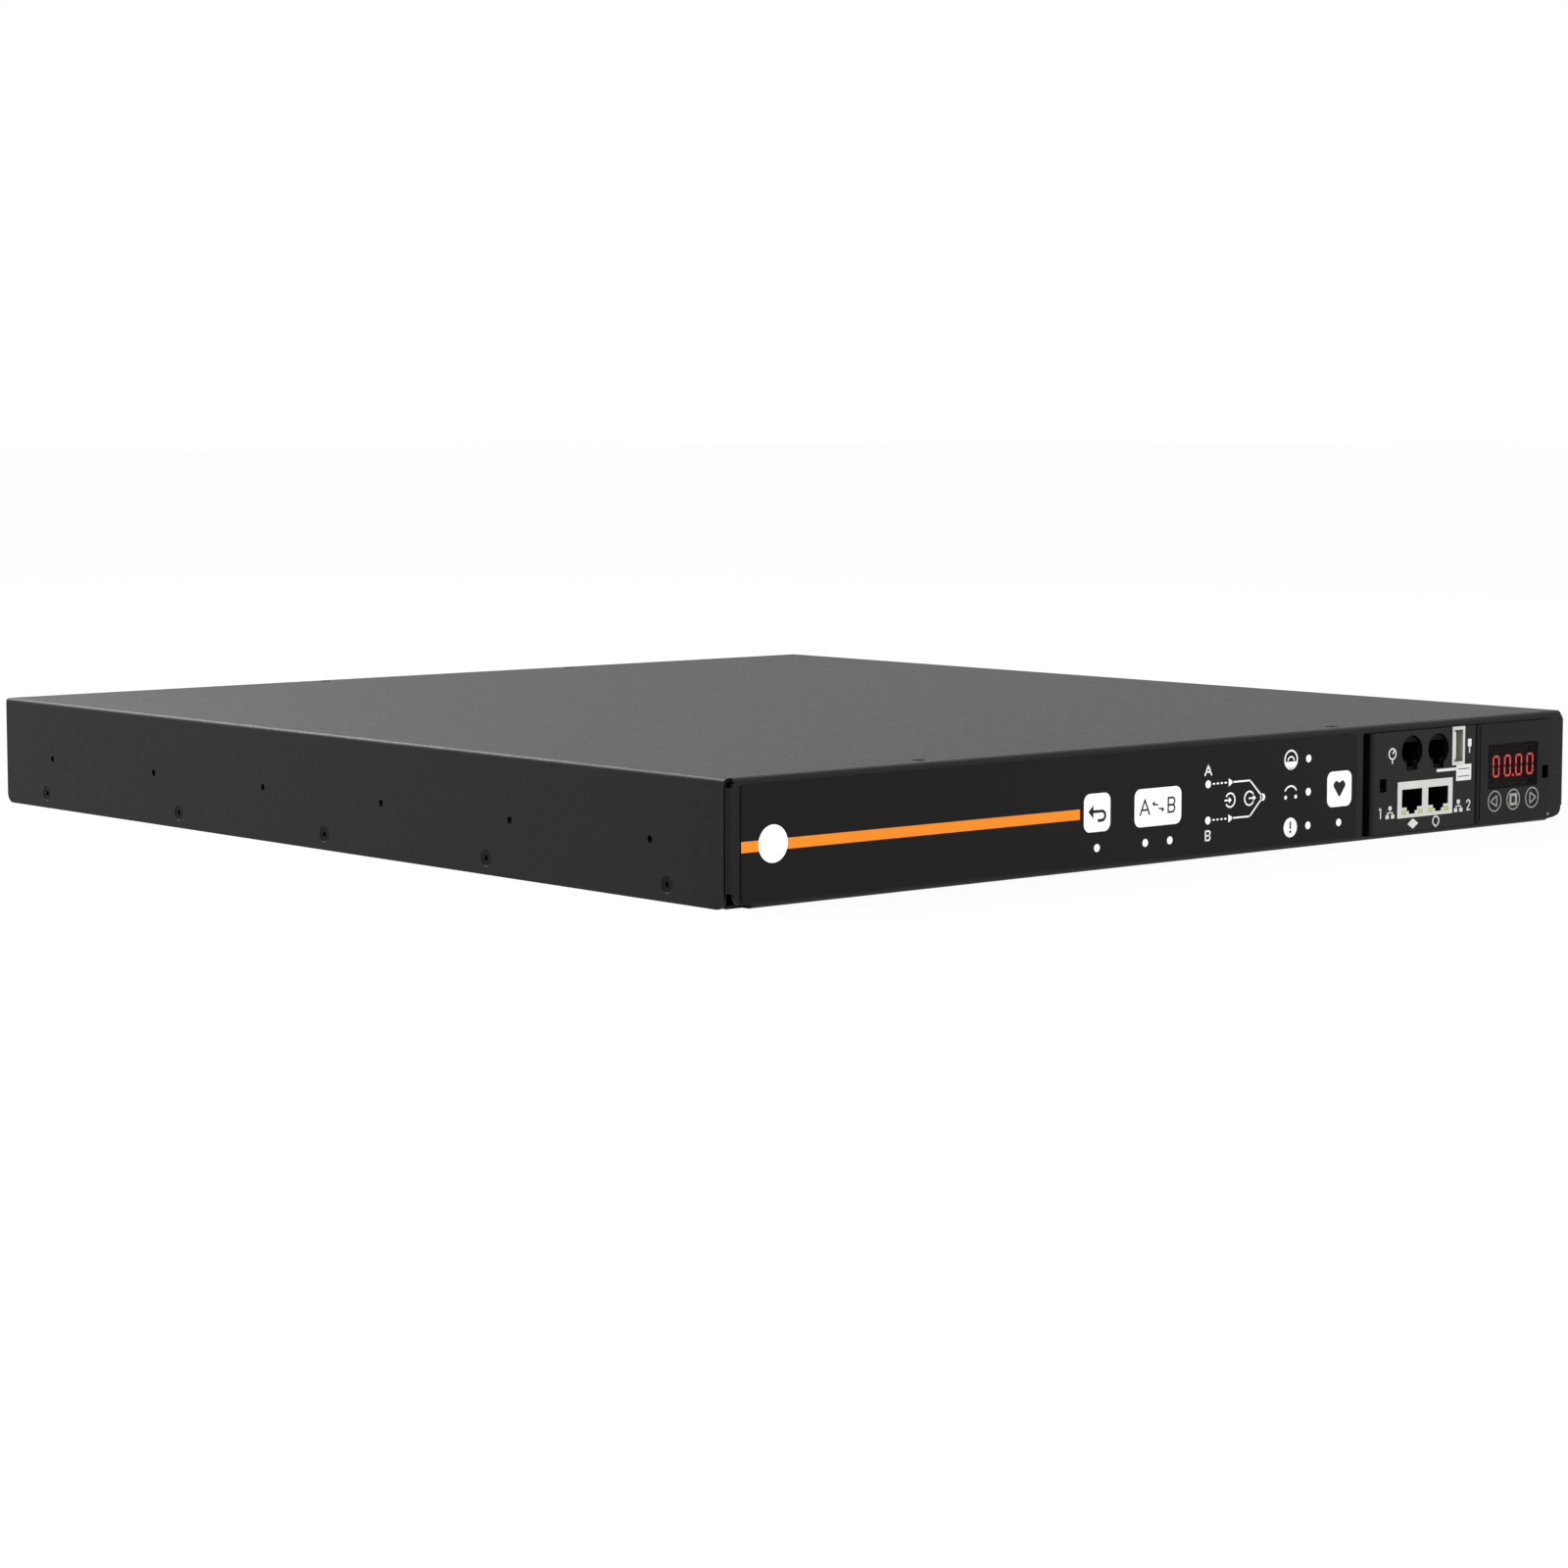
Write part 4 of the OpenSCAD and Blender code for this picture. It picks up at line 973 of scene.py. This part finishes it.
@dataclass
class Case:
    """The folded tray and cover with their fixings."""

    coat: PowderCoat = PowderCoat("case_coat", (0.0032, 0.0032, 0.003), gloss=0.2)
    lid: PowderCoat = PowderCoat("cover_coat", (0.0032, 0.0032, 0.0029), gloss=0.2)
    screw: SatinPaint = SatinPaint("screw_black", (0.002, 0.002, 0.002), gloss=0.1)
    zinc: BareMetal = BareMetal("zinc_plate", (0.6, 0.6, 0.58), 0.32)

    def build(self) -> None:
        """Dresses the case."""
        dress(self.coat.make(), "tray")
        dress(self.lid.make(), "cover")
        dress(self.screw.make(), "cover_screws")
        dress(
            self.zinc.make(),
            "bracket_nuts",
            "panel_studs",
            "panel_nuts",
            "snap_domes",
            "module_frame",
            "inlet_screws",
            "earth_washer",
            "earth_nut",
            "terminal_screws",
            "standoffs",
        )


@dataclass(frozen=True)
class FlowDiagram:
    """The printed diagram of two sources that join in one output."""

    width: float = 0.62
    source_x: float = 228.7
    source_z: tuple[float, float] = (27.3, 14.0)
    source: Sign = (Dot(1.45), Outline(((11.0, -1.5), (13.8, 0), (11.0, 1.5))))
    dash: Sign = (Stroke(0.62, ((2.5, 0), (3.65, 0))),)
    dash_pitch: float = 2.1
    dash_count: int = 4
    line_x: tuple[float, float] = (241.5, 251.3)
    apex: Point = (258.3, 20.65)
    apex_dot: Sign = (Dot(1.35),)
    letters: tuple[tuple[Mark, float], ...] = (
        (LetterA((3.6, 4.0), 0.62), 32.5),
        (LetterB((3.0, 4.0), 0.62), 8.4),
    )
    plugs: tuple[tuple[Sign, Point], ...] = (
        (plug_sign(math.pi, -1.2), (240.6, 20.7)),
        (plug_sign(0.0, 1.6), (251.0, 20.7)),
    )

    def draw(self, ink: Print) -> None:
        """Prints the diagram."""
        for z in self.source_z:
            ink.sign(self.source, (self.source_x, z))
            for i in range(self.dash_count):
                ink.sign(self.dash, (self.source_x + i * self.dash_pitch, z))
            ink.path([*((x, z) for x in self.line_x), self.apex], self.width)
        ink.sign(self.apex_dot, self.apex)
        for letter, z in self.letters:
            letter.draw(ink, (self.source_x, z))
        for sign, at in self.plugs:
            ink.sign(sign, at)


@dataclass
class KeyPanel:
    """The printed film with its stripe, keys, lamps and flow diagram."""

    stripe: tuple[Point, Point] = ((83.65, 20.75), (157.3, 3.7))
    badge: tuple[Point, float] = ((18.8, 21.1), 6.4)
    keys: tuple[tuple[Point, Point, Sign], ...] = (
        ((171.0, 20.9), (13.4, 13.8), RETURN_SIGN),
        ((202.3, 20.9), (24.4, 13.8), SOURCES_SIGN),
        ((301.25, 20.95), (13.9, 13.5), HEART_SIGN),
    )
    key_corner: float = 2.9
    lamps: tuple[Point, ...] = (
        (171.0, 8.2),
        (195.8, 8.2),
        (208.6, 8.2),
        (301.1, 8.2),
        (283.65, 33.5),
        (283.65, 21.0),
        (283.65, 8.3),
    )
    lamp_radius: float = 1.45
    load_at: Point = (273.8, 33.6)
    bypass_at: Point = (273.8, 21.1)
    alarm_at: Point = (273.8, 8.2)
    flow: FlowDiagram = FlowDiagram()
    film: PrintedFilm = PrintedFilm("film_face", (0.0028, 0.0028, 0.0029), gloss=0.14)
    white: Ink = Ink("white_ink", (0.95, 0.95, 0.94))
    orange: Ink = Ink("orange_ink", (0.86, 0.25, 0.008))
    black: Ink = Ink("black_ink", (0.004, 0.004, 0.004))

    def build(self) -> None:
        """Dresses the film and prints on it."""
        dress(self.film.make(), "key_film")
        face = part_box("key_film")[0].y
        white = self.white.make()
        stripe = Print("stripe_print", face)
        stripe.box(*self.stripe)
        stripe.finish(self.orange.make())
        ground = Print("panel_print", face, Layer.SIGN)
        self.print_ground(ground)
        ground.finish(white)
        signs = Print("key_signs", face, Layer.DETAIL)
        for at, _, sign in self.keys:
            signs.sign(sign, at)
        signs.sign(ALARM_MARK, self.alarm_at)
        signs.finish(self.black.make())

    def print_ground(self, ink: Print) -> None:
        """Prints what is white: badge, keys, lamps, flow diagram and status signs."""
        at, radius = self.badge
        ink.disc(at, radius, Sides.BADGE)
        for at, size, _ in self.keys:
            ink.box(at, size, self.key_corner)
        for lamp in self.lamps:
            ink.disc(lamp, self.lamp_radius)
        self.flow.draw(ink)
        ink.sign(LOAD_SIGN, self.load_at)
        ink.sign(BYPASS_SIGN, self.bypass_at)
        ink.sign(ALARM_DISC, self.alarm_at)


@dataclass
class PortHalf:
    """The half of the module with its network, sensor and USB ports."""

    paint: SatinPaint = SatinPaint("plate_paint", (0.0034, 0.0034, 0.0033), gloss=0.2)
    shell: BareMetal = BareMetal("tinned_shell", (0.72, 0.72, 0.7), 0.3, relief=0.004 * MM)
    body: Moulding = Moulding("connector_black", (0.0012, 0.0012, 0.0012), gloss=0.06)
    lamp: Diffuser = Diffuser("port_lamp", (0.42, 0.52, 0.2), 0.1)
    gold: BareMetal = BareMetal("contact_gold", (0.9, 0.62, 0.22), 0.22)
    tongue: Moulding = Moulding("pale_plastic", (0.62, 0.62, 0.58))
    white: Ink = Ink("port_ink", (0.72, 0.72, 0.71))
    grey: Ink = Ink("label_rule_ink", (0.12, 0.12, 0.12))
    label_at: Point = (373.85, 22.75)
    signs: tuple[tuple[Sign, Point], ...] = (
        (SENSOR_SIGN, (331.1, 32.4)),
        (USB_SIGN, (377.2, 34.2)),
        (NETWORK_SIGN, (330.1, 9.9)),
        (NETWORK_SIGN, (370.9, 9.8)),
        (FIGURE_ONE, (324.6, 9.9)),
        (FIGURE_TWO, (376.9, 9.8)),
        (LINK_SIGN, (343.7, 4.8)),
        (TRAFFIC_SIGN, (357.4, 4.9)),
    )

    def build(self) -> None:
        """Dresses the ports and prints the signs beside them."""
        dress(self.paint.make(), "port_plate", "display_plate")
        dress(self.shell.make(), "network_shield", "usb_shell")
        dress(
            self.body.make(),
            "network_body",
            "sensor_jack_1",
            "sensor_jack_2",
            "module_plug",
            "digit_block",
        )
        dress(self.lamp.make(), "network_lamps")
        dress(self.gold.make(), "network_contacts")
        dress(self.tongue.make(), "usb_tongue", "module_socket")
        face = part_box("port_plate")[0].y
        ink = Print("port_print", face)
        ink.sign(LABEL_SIGN, self.label_at)
        for sign, at in self.signs:
            ink.sign(sign, at)
        ink.finish(self.white.make())
        rules = Print("port_label_rules", face, Layer.SIGN)
        rules.sign(LABEL_RULES, self.label_at)
        rules.finish(self.grey.make())


@dataclass
class DisplayHalf:
    """The half of the module with the lit figures and three ring keys."""

    keys: tuple[tuple[Point, Sign], ...] = (
        ((392.8, 10.15), arrow_sign(-1)),
        ((404.4, 10.15), SELECT_SIGN),
        ((416.1, 10.15), arrow_sign(1)),
    )
    dot_at: Point = (426.4, 2.9)
    figure: Point = (3.4, 7.8)
    figure_pitch: float = 7.0
    figure_count: int = 4
    bar_width: float = 0.8
    point_radius: float = 0.55
    film: PrintedFilm = PrintedFilm("display_face", (0.0034, 0.0034, 0.0033), gloss=0.18)
    lens: SmokedLens = SmokedLens("smoked_lens", (0.004, 0.0008, 0.0008))
    lit: Diffuser = Diffuser("lit_segment", (0.5, 0.03, 0.025), 0.35)
    grey: Ink = Ink("ring_ink", (0.32, 0.32, 0.31))

    def build(self) -> None:
        """Dresses the display and prints its keys."""
        dress(self.film.make(), "display_film")
        dress(self.lens.make(), "display_lens")
        lit = self.lit.make()
        dress(lit, "digit_segments")
        figures = Print("lit_figures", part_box("display_lens")[0].y)
        self.print_figures(figures)
        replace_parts(figures.finish(lit), "digit_segments")
        ink = Print("display_print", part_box("display_film")[0].y)
        for at, sign in self.keys:
            ink.sign(KEY_RING, at)
            ink.sign(sign, at)
        ink.sign(CORNER_DOT, self.dot_at)
        ink.finish(self.grey.make())

    def print_figures(self, ink: Print) -> None:
        """Draws a row of noughts in the middle of the lens, with a point halfway."""
        low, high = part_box("display_lens")
        left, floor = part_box("tray")[0].x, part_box("tray")[0].z
        middle = ((low.x + high.x) / 2 - left) / MM
        level = ((low.z + high.z) / 2 - floor) / MM
        figure = nought(self.figure, self.bar_width)
        for i in range(self.figure_count):
            ink.sign(figure, (middle + (i - (self.figure_count - 1) / 2) * self.figure_pitch, level))
        ink.disc((middle, level - self.figure[1] / 2), self.point_radius, Sides.DOT)


@dataclass
class RearRow:
    """Inlets, outlets and the earth stud at the rear."""

    body: Moulding = Moulding("socket_black", (0.014, 0.014, 0.014), 0.4)
    blade: BareMetal = BareMetal("nickel_blade", (0.66, 0.65, 0.62), 0.24, (1, 0.08, 1))
    brass: BareMetal = BareMetal("stamped_brass", (0.78, 0.56, 0.25), 0.28, (1, 0.1, 1))

    def build(self) -> None:
        """Dresses the rear connectors."""
        dress(
            self.body.make(), "inlet_a", "inlet_b", "large_outlet", "outlet_bank_1", "outlet_bank_2"
        )
        dress(self.blade.make(), "inlet_pins_a", "inlet_pins_b")
        dress(self.brass.make(), "large_contacts", "strips_1", "strips_2", "earth_stud")


@dataclass
class PowerPath:
    """The filters, thyristors, bars and boards inside the case."""

    resist: BoardResist = BoardResist("solder_resist", (0.01, 0.11, 0.045))
    can: BareMetal = BareMetal("filter_can", (0.64, 0.65, 0.66), 0.3, (1, 0.1, 1))
    sink: BareMetal = BareMetal("extruded_sink", (0.6, 0.61, 0.62), 0.36, (1, 0.04, 1))
    copper: BareMetal = BareMetal("bar_copper", (0.8, 0.4, 0.24), 0.3, (0.2, 0.2, 1))
    block: Moulding = Moulding("thyristor_case", (0.02, 0.02, 0.02), 0.38)
    lead_a: Moulding = Moulding("lead_brown", (0.13, 0.05, 0.02), 0.45)
    lead_b: Moulding = Moulding("lead_blue", (0.02, 0.06, 0.22), 0.45)
    tape: Moulding = Moulding("winding_tape", (0.66, 0.42, 0.05), 0.35)
    sleeve: Moulding = Moulding("capacitor_sleeve", (0.02, 0.035, 0.11), 0.25)
    sensor: Moulding = Moulding("sensor_case", (0.02, 0.06, 0.2), 0.4)
    cable: Moulding = Moulding("flat_cable_grey", (0.3, 0.3, 0.29), 0.45)
    lamp: Diffuser = Diffuser("lamp_rod", (0.8, 0.8, 0.79))

    def build(self) -> None:
        """Dresses the inner parts."""
        dress(
            self.resist.make(),
            "control_board",
            "port_board",
            "display_board",
            "power_board",
            "logic_board",
        )
        dress(self.can.make(), "line_filter_a", "line_filter_b")
        dress(self.sink.make(), "heat_sink_a", "heat_sink_b")
        dress(self.copper.make(), "link_bars")
        dress(self.block.make(), "thyristor_a", "thyristor_b")
        dress(self.lead_a.make(), "input_leads_a")
        dress(self.lead_b.make(), "input_leads_b")
        dress(self.tape.make(), "supply_blocks")
        dress(self.sleeve.make(), "capacitors")
        dress(self.sensor.make(), "current_sensor")
        dress(self.cable.make(), "flat_cable")
        dress(self.lamp.make(), "panel_lamps")


# ---------------------------------------------------------------- studio


@dataclass(frozen=True)
class Lamp:
    """A soft rectangular lamp that faces a point."""

    name: str
    place: tuple[float, float, float]
    target: tuple[float, float, float]
    size: Point
    power: float

    def make(self) -> bpy.types.Object:
        """Hangs the lamp."""
        light = bpy.data.lights.new(self.name, "AREA")
        light.shape = "RECTANGLE"
        light.size, light.size_y = self.size
        light.energy = self.power
        made = bpy.data.objects.new(self.name, light)
        made.location = self.place
        aim = Vector(self.target) - Vector(self.place)
        made.rotation_euler = aim.to_track_quat("-Z", "Y").to_euler()
        bpy.context.scene.collection.objects.link(made)
        return made


@dataclass
class Studio:
    """Camera, pale floor, world light and soft lamps."""

    eye: tuple[float, float, float] = (-1.0253, -1.1907, 0.1644)
    heading: float = math.radians(40.951)
    dip: float = math.radians(5.586)
    lens: float = 88.46
    sensor: float = 36.0
    world_light: float = 0.85
    floor_reach: float = 12.0
    floor_shine: float = 0.94
    floor_grey: float = 0.82
    floor_roughness: float = 0.9
    floor_gap: float = 0.02 * MM
    clip: Point = (0.01, 100.0)
    lamps: tuple[Lamp, ...] = (
        Lamp("rear_strip", (-0.35, 1.5, 1.25), (-0.2, 0.0, 0.04), (1.2, 0.4), 42.0),
        Lamp("front_soft", (-0.4, -1.9, 1.5), (0.05, -0.2, 0.02), (1.4, 1.0), 16.0),
        Lamp("front_strip", (0.45, -2.3, 0.12), (0.0, -0.23, 0.02), (0.12, 0.7), 3.0),
    )

    def build(self) -> None:
        """Sets up the studio."""
        self.set_camera()
        self.set_world()
        self.set_floor()
        for lamp in self.lamps:
            lamp.make()
        settings = bpy.context.scene.view_settings
        settings.view_transform = "Standard"

    def set_camera(self) -> None:
        """Places the camera."""
        data = bpy.data.cameras.new("camera")
        data.lens = self.lens
        data.sensor_width = self.sensor
        data.clip_start, data.clip_end = self.clip
        camera = bpy.data.objects.new("camera", data)
        level = math.cos(self.dip)
        look = Vector(
            (math.sin(self.heading) * level, math.cos(self.heading) * level, -math.sin(self.dip))
        )
        camera.location = self.eye
        camera.rotation_euler = look.to_track_quat("-Z", "Y").to_euler()
        bpy.context.scene.collection.objects.link(camera)
        bpy.context.scene.camera = camera

    def seen(self, tree: bpy.types.NodeTree) -> bpy.types.NodeSocket:
        """A socket that is 1 for the camera's rays and for those that a surface mirrors."""
        path = tree.nodes.new("ShaderNodeLightPath")
        total = path.outputs["Is Camera Ray"]
        for name in ("Is Glossy Ray", "Is Transmission Ray"):
            most = tree.nodes.new("ShaderNodeMath")
            most.operation = "MAXIMUM"
            tree.links.new(total, most.inputs[0])
            tree.links.new(path.outputs[name], most.inputs[1])
            total = most.outputs[0]
        return total

    def set_world(self) -> None:
        """Lights the scene evenly, with a white background."""
        world = bpy.data.worlds.new("studio")
        bpy.context.scene.world = world
        world.use_nodes = True
        tree = world.node_tree
        shine = tree.nodes["Background"]
        plain = tree.nodes.new("ShaderNodeBackground")
        shine.inputs["Color"].default_value = (1, 1, 1, 1)
        shine.inputs["Strength"].default_value = self.world_light
        plain.inputs["Color"].default_value = (1, 1, 1, 1)
        plain.inputs["Strength"].default_value = 1.0
        mix = tree.nodes.new("ShaderNodeMixShader")
        tree.links.new(self.seen(tree), mix.inputs[0])
        tree.links.new(shine.outputs[0], mix.inputs[1])
        tree.links.new(plain.outputs[0], mix.inputs[2])
        tree.links.new(mix.outputs[0], tree.nodes["World Output"].inputs[0])

    def set_floor(self) -> None:
        """Lays the pale floor that keeps the object's shadow."""
        mesh = bmesh.new()
        bmesh.ops.create_grid(mesh, x_segments=1, y_segments=1, size=self.floor_reach)
        drop = Vector((0, 0, CAD_BOX[0].z - self.floor_gap))
        bmesh.ops.translate(mesh, vec=drop, verts=mesh.verts)
        data = bpy.data.meshes.new("floor")
        mesh.to_mesh(data)
        mesh.free()
        floor = bpy.data.objects.new("floor", data)
        bpy.context.scene.collection.objects.link(floor)
        tree = Tree("floor_white")
        grey = (self.floor_grey, self.floor_grey, self.floor_grey, 1.0)
        tree.set(Base_Color=grey, Roughness=self.floor_roughness, Specular_IOR_Level=0.0)
        shine = tree.nodes.new("ShaderNodeEmission")
        mix = tree.nodes.new("ShaderNodeMixShader")
        seen = Wire(tree, self.seen(tree.material.node_tree))
        tree.feed(mix.inputs[0], seen * self.floor_shine)
        tree.links.new(tree.shader.outputs[0], mix.inputs[1])
        tree.links.new(shine.outputs[0], mix.inputs[2])
        tree.links.new(mix.outputs[0], tree.nodes["Material Output"].inputs[0])
        data.materials.append(tree.material)


def main() -> None:
    """Builds every sub-assembly and the studio."""
    logging.basicConfig(level=logging.INFO, format="%(name)s: %(message)s")
    for assembly in (Case(), KeyPanel(), PortHalf(), DisplayHalf(), RearRow(), PowerPath()):
        LOG.info("building %s", type(assembly).__name__)
        assembly.build()
    Studio().build()


if __name__ == "__main__":
    main()
